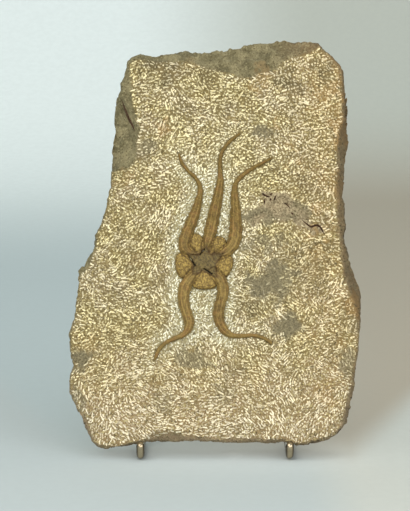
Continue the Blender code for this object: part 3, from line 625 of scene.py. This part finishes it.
def all_marks(ring_mm):
    marks = Marks()
    tool_marks(marks, ring_mm)
    for line, width in CRACKS_MM:
        marks.crack(line, width)
    for i, pit in enumerate(PITS_MM):
        # Tones below zero paint the pits dark: painted shade in the pits.
        marks.stroke(np.array(pit), 0.6 * i, 1.3, 0.8, 0, 0.7, -0.9)
    return marks


def slab_rim(tree):
    """Points round the slab's widest outline, in metres, half a millimetre or so apart."""
    found = []
    for angle in np.linspace(0, 2 * math.pi, RIM_RAYS, endpoint=False):
        way = Vector((math.cos(angle), math.sin(angle), 0))
        best = 0.0
        for level in np.arange(0.001, -0.012, -0.0006):
            hit = tree.ray_cast(Vector((*SLAB_MIDDLE, level)) + way * RAY_START, -way)
            if hit[0]:
                best = max(best, RAY_START - hit[3])
        found.append(SLAB_MIDDLE + np.array(way[:2]) * (best - 0.0001))
    closed = np.vstack([found, found[:1]])
    along = np.concatenate([[0], np.cumsum(norm(np.diff(closed, axis=0)))])
    at = np.linspace(0, along[-1], int(along[-1] / RIM_STEP), endpoint=False)
    ring = np.column_stack([np.interp(at, along, closed[:, axis]) for axis in (0, 1)])
    outward = ring - SLAB_MIDDLE
    outward /= norm(outward)[:, None]
    ragged = ripples(ring / MM, (6, 2.2, 1.2), (1.7, 4.4, 1)) - 0.05
    return ring + outward * (np.minimum(ragged, 0.5) * MM)[:, None]


def surface_level(tree, points, back=False):
    """Height of the CAD slab's front or back at each point, in millimetres."""
    found = []
    start, way, near = (-0.05, 1, -SLAB_THICKNESS) if back else (0.05, -1, -0.004)
    for x, y in points * MM:
        hit = tree.ray_cast((x, y, start), (0, 0, way))
        if not hit[0]:
            hit = tree.find_nearest((x, y, near))
        found.append(hit[0].z)
    return np.array(found) / MM


def scattered(outline, step, chance):
    """A jittered grid of points over the box round an outline."""
    low, high = outline.min(axis=0), outline.max(axis=0)
    across, up = np.arange(low[0], high[0], step), np.arange(low[1], high[1], step * 0.87)
    grid = np.array([(x + (row % 2) * step / 2, y) for row, y in enumerate(up) for x in across])
    return grid + chance.uniform(-0.3, 0.3, grid.shape) * step


def beside_star():
    """Points just off the star's edge, so that the trench round it has a shape."""
    found = []
    for line in ARM_LINES.values():
        for off in (0.1, 0.7):
            side = sideways(line) * (line[:, 2] / 2 + off)[:, None]
            found += [line[::2, :2] + side[::2], line[::2, :2] - side[::2]]
    return np.vstack(found)


def front_points(ring_mm):
    """Points of the face that belong to no mark: sparse where it is worked, dense where broken."""
    chance = np.random.default_rng(3)
    sparse, dense = scattered(ring_mm, SPARSE_MM, chance), scattered(ring_mm, DENSE_MM, chance)
    points = np.vstack([sparse[worked_at(sparse)], dense[~worked_at(dense)], beside_star()])
    return points[inside(points, ring_mm) & (segment_distance(points, ring_mm[::2], True) > 0.4)]


def slab_front(tree, ring):
    """Points and triangles of the front, "chip" for each triangle, and the places of the ring's points."""
    ring_mm = ring / MM
    marks = all_marks(ring_mm)
    loose = front_points(ring_mm)
    count = len(ring)
    flat = np.vstack([ring_mm, marks.points, loose])
    given = np.concatenate([np.zeros(count), marks.depth, np.zeros(len(loose))])
    faces = [list(range(count))] + [[i + count for i in face] for face in marks.faces]
    points, triangles, origins, owners = meshed(flat, faces, 1)
    depth = np.array([max((given[i] for i in source), default=0) for source in origins])
    chip = np.array([max((marks.tone[o - 1] for o in owner if o), default=0, key=abs) for owner in owners])
    order = {i: place for place, source in enumerate(origins) for i in source if i < count}
    broken = smooth(-edge_of_work(points), -0.5, 0.6)
    bare = smooth(bare_depth(points), -0.3, 0.5)
    from_star = star_distance(points)
    rough = ripples(points, (5, 1, 1.5), (1.9, 2, 0.75), (0.8, 6, 0.3))
    worked = ripples(points, (9, 8, 0.7), (3, 5, 0.35))
    level = surface_level(tree, points)
    level += worked * (1 - broken) * smooth(from_star, 0, 3) + (rough - 0.35) * broken - 0.12 * bare
    level -= depth + 0.14 * gauss(np.maximum(from_star, 0), 0.3)
    return np.column_stack([points, level]), triangles, chip, [order[i] for i in range(count)]


def side_rings(tree, rim):
    """Rings of points down the broken sides, from just under the rim to the back. In millimetres."""
    rings = []
    middle = SLAB_MIDDLE / MM
    outward = rim[:, :2] - middle
    reach = norm(outward)
    outward /= reach[:, None]
    for k in range(1, SIDE_RINGS + 1):
        share = k / SIDE_RINGS
        level = rim[:, 2] + (BACK_LEVEL_MM - rim[:, 2]) * share
        distance = []
        for way, z, widest in zip(outward, level, reach):
            hit = tree.ray_cast((*(SLAB_MIDDLE + way * RAY_START), z * MM), (*-way, 0))
            distance.append((RAY_START - hit[3]) / MM if hit[0] else widest)
        at = np.column_stack([middle + outward * np.array(distance)[:, None], level])
        beds = waves(at * (0.12, 0.12, 1), 1.5, 3) * 1.1 + waves(at, 4, 6) * 0.9 + waves(at, 1.3, 2) * 0.55
        fade = min(1, 3 * (1 - share) + 0.25) * min(1, 0.4 + k / 4)
        at[:, :2] += outward * (np.minimum(beds - 0.15, 0.3) * fade)[:, None]
        rings.append(at)
    return rings


def in_scene(name, data):
    made = bpy.data.objects.new(name, data)
    bpy.context.scene.collection.objects.link(made)
    return made


def new_mesh(name, points, faces, material):
    mesh = bpy.data.meshes.new(name)
    mesh.from_pydata([tuple(point) for point in points], [], faces)
    mesh.materials.append(material)
    return mesh


def add_piece(name, points, faces, material, node, smooth_angle=None):
    """A piece on the root body that stands for a CAD node. Points are in metres, in the row frame."""
    mesh = new_mesh(name, points, faces, material)
    mesh.update()
    if smooth_angle is not None:
        mesh.shade_smooth()
        mesh.set_sharp_from_angle(angle=math.radians(smooth_angle))
    piece = in_scene(name, mesh)
    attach(piece, "root")
    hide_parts(node)
    return piece


def leaned(points_mm):
    """Points of the slab's frame in millimetres, moved to the row frame in metres."""
    turn = np.array(LEANING.to_3x3())
    return points_mm @ turn.T * MM + np.array(LEANING.translation)


def store(piece, name, values, domain="POINT"):
    made = piece.data.attributes.new(name, "FLOAT", domain)
    made.data.foreach_set("value", np.asarray(values, np.float32))


def build_slab(tree, material):
    """The slab: its front, the rings down its sides and its back, in one closed mesh."""
    front, faces, chip, rim_order = slab_front(tree, slab_rim(tree))
    points = [front]
    previous = rim_order
    total, count = len(front), len(rim_order)
    for side in side_rings(tree, front[rim_order]):
        current = list(range(total, total + count))
        for i in range(count):
            j = (i + 1) % count
            faces += [(previous[j], previous[i], current[i]), (previous[j], current[i], current[j])]
        points.append(side)
        total += count
        previous = current
    last = points[-1][:, :2]
    spread = scattered(last, BACK_STEP_MM, np.random.default_rng(5))
    spread = spread[inside(spread, last) & (segment_distance(spread, last[::2], True) > 0.9)]
    _, back_faces, origins, _ = meshed(np.vstack([last, spread]), [list(range(count))], 1)
    split = surface_level(tree, spread, True)
    split += np.maximum(ripples(spread, (7, 1, 0.7), (2.4, 3, 0.35)), -0.2)
    names = previous + list(range(total, total + len(spread)))
    faces += [tuple(names[origins[corner][0]] for corner in reversed(face)) for face in back_faces]
    points.append(np.column_stack([spread, np.maximum(split, -SLAB_THICKNESS / MM - 0.1)]))
    everything = np.vstack(points)
    slab = add_piece("slab_of_matrix", leaned(everything), faces, material, "matrix_slab")
    paint_slab(slab, everything, len(front), chip)


def paint_slab(slab, points, front_count, chip):
    """The attributes that the stone's material reads."""
    flat = points[:, :2]
    x, y = flat.T
    is_front = np.arange(len(points)) < front_count
    edge, from_star = edge_of_work(flat), star_distance(flat)
    broken = np.where(is_front, smooth(-edge, -0.4, 0.4), 1)
    bare = np.where(is_front, smooth(bare_depth(flat), -0.4, 0.4), 0)
    grey = np.where(is_front, blotches(flat, GREY_MM), 0) * (1 - broken)
    white = 1 - 0.7 * smooth(norm(flat - MOUTH_MM), 30, 46)
    white *= 1 - 0.75 * smooth(x, 3, 12)
    # Painted shade: a thin dark line round the star's foot, the broken right edge of the face, and the
    # sides and back on the right, darkest just under the rim.
    foot = 0.14 * gauss(np.maximum(from_star, 0), 0.2)
    right_edge_shade = 0.45 * smooth(-edge, 0.3, 1.2) * smooth(x, 38, 44)
    side_shade = (0.35 + (0.35 + waves(points, 3, 2)) * gauss(points[:, 2] + 2.2, 2.4)) * smooth(x, 20, 46)
    looks = {
        "broken": broken,
        "bare": bare,
        "worked": (1 - broken) * (1 - bare) * (1 - grey),
        "grey": grey * (1 - 0.25 * bare),
        "rust": blotches(flat, RUST_MM),
        "brown": np.where(is_front, blotches(flat, BROWN_MM), 0),
        "pale": 1 - smooth(y, 4, 44),
        "warm": np.maximum(smooth(x, 18, 46), 1 - smooth(y, 8, 60)),
        "halo": np.where(is_front, 1 - smooth(from_star, 0.8, 7.5), 0) * white,
        "painted_shade": np.clip(np.where(is_front, np.maximum(foot, right_edge_shade), side_shade), 0, 0.85),
    }
    for name, values in looks.items():
        store(slab, name, values)
    on_faces = np.zeros(len(slab.data.polygons))
    on_faces[: len(chip)] = chip
    store(slab, "chip", np.maximum(on_faces, 0), "FACE")
    # Painted shade: the pits and cracks, which have tones below zero, are painted dark brown.
    store(slab, "pit", np.maximum(-on_faces, 0), "FACE")


def arm_root(line):
    """How much of its width an arm has: it starts narrow, between the jaws."""
    along = np.concatenate([[0], np.cumsum(norm(np.diff(line[:, :2], axis=0)))])
    return 0.5 + 0.5 * smooth(along, 0, 2.6)


def slit_share(points):
    """1 in the slits that open between the jaws."""
    away = [(segment_distance(points, ends), width) for *ends, width in SLITS_MM]
    return np.max([1 - smooth(far, width * 0.25, width * 0.55) for far, width in away], axis=0)


def build_arm(name, tree, material):
    """An arm with its row of plates: two seams along the middle and seams at the joints, with painted shade
    along its edges and a painted highlight along its crests.
    """
    stations = int(norm(np.diff(ARM_LINES[name][:, :2], axis=0)).sum() / ARM_STEP_MM)
    line = smooth_path(ARMS_MM[name], stations)
    spine, left = line[:, :2], sideways(line)
    step = norm(np.gradient(spine, axis=0))
    along = np.cumsum(step)
    width = line[:, 2] * arm_root(line) * (1 + 0.05 * np.sin(along / 0.55) + 0.10 * waves(spine, 2.2, 3.3))
    bed = surface_level(tree, spine)
    phase = np.cumsum(step / (0.55 + 0.09 * width))
    high = STAR_RELIEF_MM * (0.25 + 0.75 * np.minimum(1, width / 5))
    thin = 1 - smooth(width, 1.6, 3.4)
    points, looks = [], []
    for share in np.sin(np.linspace(-math.pi / 2, math.pi / 2, ARM_SIDES)):
        off = abs(share)
        at = spine + left * (share * width / 2)[:, None]
        joint = gauss((phase + 0.35 * off + 0.5) % 1 - 0.5, 0.13) * (0.35 + 0.65 * off)
        middle = gauss(off - 0.17, 0.12) * (0.3 + 0.7 * smooth(width, 1.5, 4))
        shield = gauss(off - 0.66, 0.11) * smooth(width, 1.8, 4)
        rim = off**2.4
        dome = max(0, 1 - rim) ** 0.6
        jaw, slit = jaw_depth(at), slit_share(at)
        height = high * dome * (1 + 0.10 * waves(at, 0.9, 2))
        height -= (0.30 * middle + 0.26 * shield + 0.22 * joint + 0.3 * smooth(jaw, -0.2, 0.3)) * dome
        points.append(np.column_stack([at, bed + 0.1 + np.maximum(height - slit, 0)]))
        lines = (0.8 * middle + 0.75 * shield) * (0.75 + waves(at, 1.6, 4)) + 0.6 * gauss(jaw, 0.35)
        # Painted shade: the rim term darkens the arm towards its edges.
        seam_and_edge_shade = np.clip(lines + 0.3 * joint + 0.3 * rim + 0.2 * thin - 0.12, 0, 1)
        mouth = np.maximum(0.4 * (1 - smooth(along, 0.5, 5.5)), 0.95 * smooth(jaw, -0.3, 0.2))
        # Painted highlight: a lighter stripe along each crest between the seams.
        crest_highlight = gauss(off - 0.42, 0.13) * (0.5 + 1.6 * np.maximum(waves(at, 2.4, 6.6), -0.3))
        looks.append((seam_and_edge_shade, mouth, crest_highlight * smooth(width, 1.6, 3.6) * smooth(along, 1, 4), slit))
    none = np.zeros(stations)
    for share in (1, -1):
        points.append(np.column_stack([spine + left * (share * width / 2)[:, None], bed - 0.5]))
        # Painted shade: the buried rows at the arm's foot are painted fully dark.
        looks.append((none + 1, looks[0][1], none, none))
    loop = len(points)
    grid = np.stack(points, axis=1).reshape(-1, 3)
    faces = []
    for here in range(0, len(grid) - loop, loop):
        for k in range(loop):
            after = here + (k + 1) % loop
            faces.append((here + k, here + k + loop, after + loop, after))
    faces += [tuple(range(loop)), tuple(reversed(range(len(grid) - loop, len(grid))))]
    piece = add_piece(name + "_plates", leaned(grid), faces, material, name, 60)
    for key, values in zip(("seam_and_edge_shade", "mouth", "crest_highlight", "slit"), zip(*looks)):
        store(piece, key, np.stack(values, axis=1).ravel())
    store(piece, "deep", smooth(grid[:, 1], 76, 92))


def footprint(name, margin):
    """Outline of the first part of an arm."""
    line = smooth_path(ARMS_MM[name][:6], 60)
    left = sideways(line)
    side = left * (line[:, 2] * arm_root(line) / 2 + margin)[:, None]
    spine = line[:, :2].copy()
    spine[0] -= np.array((left[0, 1], -left[0, 0])) * margin
    return np.vstack([spine - side, (spine + side)[::-1]])


def oval(middle, half_width, half_length, tilt=0, power=2, sides=64):
    """An ellipse, squared up where the power is over 2."""
    angles = np.linspace(0, 2 * math.pi, sides, endpoint=False)
    x, y = np.cos(angles), np.sin(angles)
    x, y = half_width * np.sign(x) * abs(x) ** (2 / power), half_length * np.sign(y) * abs(y) ** (2 / power)
    turn_x, turn_y = math.cos(tilt), math.sin(tilt)
    return np.column_stack([x * turn_x - y * turn_y, x * turn_y + y * turn_x]) + middle


def arm_roots(points):
    """1 on the ridges that run from the mouth to the root of each arm."""
    away = [segment_distance(points, [MOUTH_MM, rows[0][:2]]) for rows in ARMS_MM.values()]
    return 1 - smooth(np.min(away, axis=0), 1, 1.9)


def edges_of(face):
    return zip(face, face[1:] + face[:1])


def build_disc(tree, material):
    """The disc: five granular lobes round the sunken frame of the mouth."""
    body = [oval(MOUTH_MM, DISC_CORE_MM, DISC_CORE_MM)] + [oval(*lobe) for lobe in LOBES_MM]
    outlines = body + [footprint(name, -0.6) for name in ARMS_MM]
    starts = np.cumsum([0] + [len(outline) for outline in outlines])
    faces = [list(range(*ends)) for ends in zip(starts[:-1].tolist(), starts[1:].tolist())]
    grid = scattered(np.vstack(body), DISC_STEP_MM, np.random.default_rng(8))
    found, triangles, _, owners = meshed(np.vstack(outlines + [grid]), faces, 0)
    kept = [face for face, owner in zip(triangles, owners) if owner and max(owner) < len(body)]
    kept = joined(kept, int(norm(found - MOUTH_MM).argmin()))
    edges = {edge for face in kept for edge in edges_of(face)}
    rim = [edge for edge in edges if edge[::-1] not in edges]
    used = sorted({i for face in kept for i in face})
    at = found[used]
    rim_points = found[sorted({i for edge in rim for i in edge})]
    rim_points = rim_points[arm_gap(rim_points) > 0.05]
    from_edge = np.array([norm(rim_points - p).min() for p in at])
    lobe, jaw, gap = np.clip(lobe_share(at), 0, 1), jaw_depth(at), arm_gap(at)
    star, root, slit = smooth(jaw, -0.15, 0.3), arm_roots(at), slit_share(at)
    grains = np.array([noise.voronoi(Vector((x / 0.62, y / 0.62, 0)))[0][0] for x, y in at])
    outside = 1 - star
    edge, ridge = gauss(jaw, 0.28), gauss(root - 0.5, 0.25) * outside
    round_off = np.minimum(1, from_edge / 0.8)
    dome = 0.3 + 0.7 * np.sqrt(round_off * (2 - round_off))
    height = STAR_RELIEF_MM * (0.66 + 0.40 * np.sqrt(lobe)) * dome
    height *= 1 - 0.34 * (1 - smooth(gap, -0.4, 0.9))
    height -= 0.24 * smooth(grains, 0.25, 0.6) * outside
    height += 0.35 * waves(at, 1.1, 2) + 0.2 * root * outside
    height -= 0.45 * star + 0.35 * edge + 0.25 * ridge
    height -= 0.9 * slit
    bed = float(surface_level(tree, at).mean())
    count = len(used)
    name = {i: place for place, i in enumerate(used)}
    levels = (bed + height, np.full(count, bed - 0.6))
    points = np.vstack([np.column_stack([at, level]) for level in levels])
    faces = [tuple(name[i] for i in face) for face in kept]
    faces += [tuple(name[i] + count for i in reversed(face)) for face in kept]
    faces += [(name[b], name[a], name[a] + count, name[b] + count) for a, b in rim]
    piece = add_piece("disc_plates", leaned(points), faces, material, "disc", 60)
    growth = gauss(lobe - 0.22, 0.05) + gauss(lobe - 0.55, 0.05)
    seam_and_edge_shade = 0.9 * edge + 0.7 * ridge + 0.45 * smooth(grains, 0.35, 0.65) * outside
    seam_and_edge_shade += 0.35 * growth * (1 - root)
    # Painted shade along the disc's rim and where it meets the arms.
    disc_rim_shade = 1 - smooth(from_edge, 0, 0.3)
    seam_and_edge_shade += 0.5 * gauss(gap - 0.1, 0.3) + 0.3 * disc_rim_shade + 0.4 * star * gauss(grains, 0.2)
    looks = {
        "seam_and_edge_shade": np.clip(seam_and_edge_shade, 0, 1),
        "lobe": smooth(lobe, 0.02, 0.25) * outside * (1 - 0.7 * root),
        "mouth": np.maximum(star, 0.45 * root),
        "slit": slit,
    }
    for key, values in looks.items():
        store(piece, key, np.tile(values, 2))


def joined(faces, seed):
    """The faces that share edges, one after another, with a face at that point."""
    by_edge = {}
    for face in faces:
        for edge in edges_of(face):
            by_edge.setdefault(frozenset(edge), []).append(face)
    waiting = [next(face for face in faces if seed in face)]
    reached = set(waiting)
    while waiting:
        for edge in edges_of(waiting.pop()):
            new = [beside for beside in by_edge[frozenset(edge)] if beside not in reached]
            reached.update(new)
            waiting += new
    return [face for face in faces if face in reached]


def wire(name, path, material, welded=False):
    """A round wire along a path. Its ends are round, or flared where they are welded to other wires."""
    half = WIRE / 2
    ends = [(half * math.sin(a), math.cos(a)) for a in (0.3, 0.6, 0.9, 1.15, 1.35, 1.5)]
    if welded:
        ends = [(-0.0014, 1.02), (-0.0008, 1.12), (-0.0002, 1.32), (0.0005, 1.45), (0.0008, 0.7)]
    rows = [(Vector(point), 1) for point in path]
    for _ in range(2):
        rows.reverse()
        tip = rows[-1][0]
        out = (tip - rows[-2][0]).normalized()
        if welded:
            rows.pop()
        rows += [(tip + out * reach, scale) for reach, scale in ends]
    points, faces = [], []
    for i, (centre, scale) in enumerate(rows):
        along = (rows[min(i + 1, len(rows) - 1)][0] - rows[max(i - 1, 0)][0]).normalized()
        across = Vector((1, 0, 0)) if abs(along.x) < 0.5 else Vector((0, 1, 0))
        across = (across - along * across.dot(along)).normalized()
        over = along.cross(across)
        for k in range(WIRE_SIDES):
            angle = 2 * math.pi * k / WIRE_SIDES
            points.append(centre + (across * math.cos(angle) + over * math.sin(angle)) * half * scale)
    last = len(points) - WIRE_SIDES
    for here in range(0, last, WIRE_SIDES):
        for k in range(WIRE_SIDES):
            j = here + (k + 1) % WIRE_SIDES
            faces.append((here + k, j, j + WIRE_SIDES, here + k + WIRE_SIDES))
    faces += [tuple(reversed(range(WIRE_SIDES))), tuple(range(last, len(points)))]
    return add_piece(name + "_round", points, faces, material, name, 50)


def bend(corner, before, after, radius, steps=10):
    """Points round a bend of a wire, from one way to the other."""
    before, after = before.normalized(), after.normalized()
    turn = before.angle(after)
    start = corner - before * radius * math.tan(turn / 2)
    centre_way = (after - before * before.dot(after)).normalized()
    centre = start + centre_way * radius
    angles = [turn * step / steps for step in range(steps + 1)]
    return [centre - centre_way * radius * math.cos(a) + before * radius * math.sin(a) for a in angles]


def build_easel(material):
    """The easel's wires. Returns the two side wires, whose hooks throw a shadow on the paper."""
    half = WIRE / 2
    sides = []
    down, back, up = Vector((0, 0, -1)), Vector((0, 1, 0)), Vector((0, math.sin(LEAN), math.cos(LEAN)))
    for name, x in (("easel_side_left", -LEG_SPREAD / 2), ("easel_side_right", LEG_SPREAD / 2)):
        low, high = (LEANING @ Vector((x, y, -SLAB_THICKNESS - GAP - half)) for y in (0, UPRIGHT_REACH))
        heel = low + up * ((half - low.z) / up.z)
        path = [Vector((x, HOOK_FRONT, HOOK_TIP))]
        path += bend(Vector((x, HOOK_FRONT, half)), down, back, HOOK_BEND)
        path += bend(heel, back, up, HEEL_BEND) + [low.lerp(high, 0.5), high]
        sides.append(wire(name, path, material))
    bars = (("easel_top_bar", TOP_BAR, TOP_LENGTH), ("easel_foot_bar", FOOT_BAR, FOOT_LENGTH))
    for name, middle, length in bars:
        reach = Vector((length / 2 - half, 0, 0))
        wire(name, [middle - reach, middle, middle + reach], material)
    for name, sign in (("easel_strut_left", -1), ("easel_strut_right", 1)):
        start = TOP_BAR + Vector((sign * STRUTS_ABOVE, 0, 0))
        end = FOOT_BAR + Vector((sign * STRUTS_BELOW, 0, 0))
        inset = (end - start).normalized() * (half - GAP)
        wire(name, [start + inset, (start + end) / 2, end - inset], material, True)
    return sides


def build_sweep():
    """A pale paper sweep: the shelf, curving up behind."""
    bend_start, radius = 0.62, 0.55
    profile = [(-1.6, 0), (0.3, 0)]
    for k in range(25):
        angle = math.pi / 2 * k / 24
        profile.append((bend_start + radius * math.sin(angle), radius * (1 - math.cos(angle))))
    profile.append((bend_start + radius, 2.4))
    points = [(x, y, z - 0.00005) for y, z in profile for x in (-2.4, 2.4)]
    faces = [(2 * i, 2 * i + 1, 2 * i + 3, 2 * i + 2) for i in range(len(profile) - 1)]
    mesh = new_mesh("paper_sweep", points, faces, paper_material())
    mesh.shade_smooth()
    sweep = in_scene("paper_sweep", mesh)
    return sweep


def group(name, pieces, state="INCLUDE"):
    """A collection that says which pieces a light reaches, or which ones block it."""
    made = bpy.data.collections.new(name)
    for piece in pieces:
        made.objects.link(piece)
    for member in made.collection_objects:
        member.light_linking.link_state = state
    return made


def aim_at(thing, place, target):
    thing.location = place
    thing.rotation_euler = (Vector(target) - Vector(place)).to_track_quat("-Z", "Y").to_euler()


def area_light(name, place, target, size, watts, colour, height=None):
    """A round light, or an oblong one where a height is given."""
    data = bpy.data.lights.new(name, "AREA")
    data.shape = "RECTANGLE" if height else "DISK"
    data.size, data.energy, data.color = size, watts, colour
    if height:
        data.size_y = height
    lamp = in_scene(name, data)
    aim_at(lamp, place, target)
    lamp.visible_camera = False
    return lamp


def light_and_camera(sweep, wires):
    """Soft studio light. The paper has a key of its own, and only wires block it, so shadows stay pale."""
    scene = bpy.context.scene
    scene.view_settings.view_transform = "Standard"
    scene.world = bpy.data.worlds.new("studio")
    scene.world.use_nodes = True
    sky = scene.world.node_tree.nodes["Background"].inputs
    sky["Color"].default_value = (0.86, 0.93, 0.95, 1)
    sky["Strength"].default_value = 0.70
    aim = (0, -0.01, 0.08)
    from_left, warm = (-0.55, -0.82, 1.05), (1, 0.965, 0.90)
    key, paper_key = (area_light(name, from_left, aim, 1.3, 11.2, warm) for name in ("key", "paper_key"))
    key.light_linking.receiver_collection = group("not_the_paper", [sweep], "EXCLUDE")
    area_light("fill", (0.8, -0.9, 0.5), aim, 1, 5, (0.97, 0.97, 1))
    area_light("bounce", (0, -0.45, 0.06), (0, -0.03, 0.02), 0.4, 0.7, (1, 0.95, 0.88))
    above, below = (0.008, -0.036, 0.016), (0.008, -0.036, 0)
    under = area_light("under", above, below, 0.085, 0.0055, (1, 0.97, 0.94), 0.010)
    for lamp in (paper_key, under):
        lamp.light_linking.receiver_collection = group(lamp.name + "_on", [sweep])
        lamp.light_linking.blocker_collection = group(lamp.name + "_past", wires)
    data = bpy.data.cameras.new("camera")
    data.sensor_fit, data.sensor_height, data.lens, data.clip_start = "VERTICAL", 24, 105.7, 0.01
    distance, elevation = 0.9, math.radians(10)
    target = LEANING @ Vector((-0.0040, 0.0774, 0))
    scene.camera = in_scene("camera", data)
    place = target + Vector((0, -math.cos(elevation), math.sin(elevation))) * distance
    aim_at(scene.camera, place, target)


def main():
    sweep = build_sweep()
    tree = cad_tree("matrix_slab")
    build_slab(tree, stone_material())
    plates = fossil_material()
    for name in ARMS_MM:
        build_arm(name, tree, plates)
    build_disc(tree, plates)
    light_and_camera(sweep, build_easel(wire_material()))


main()
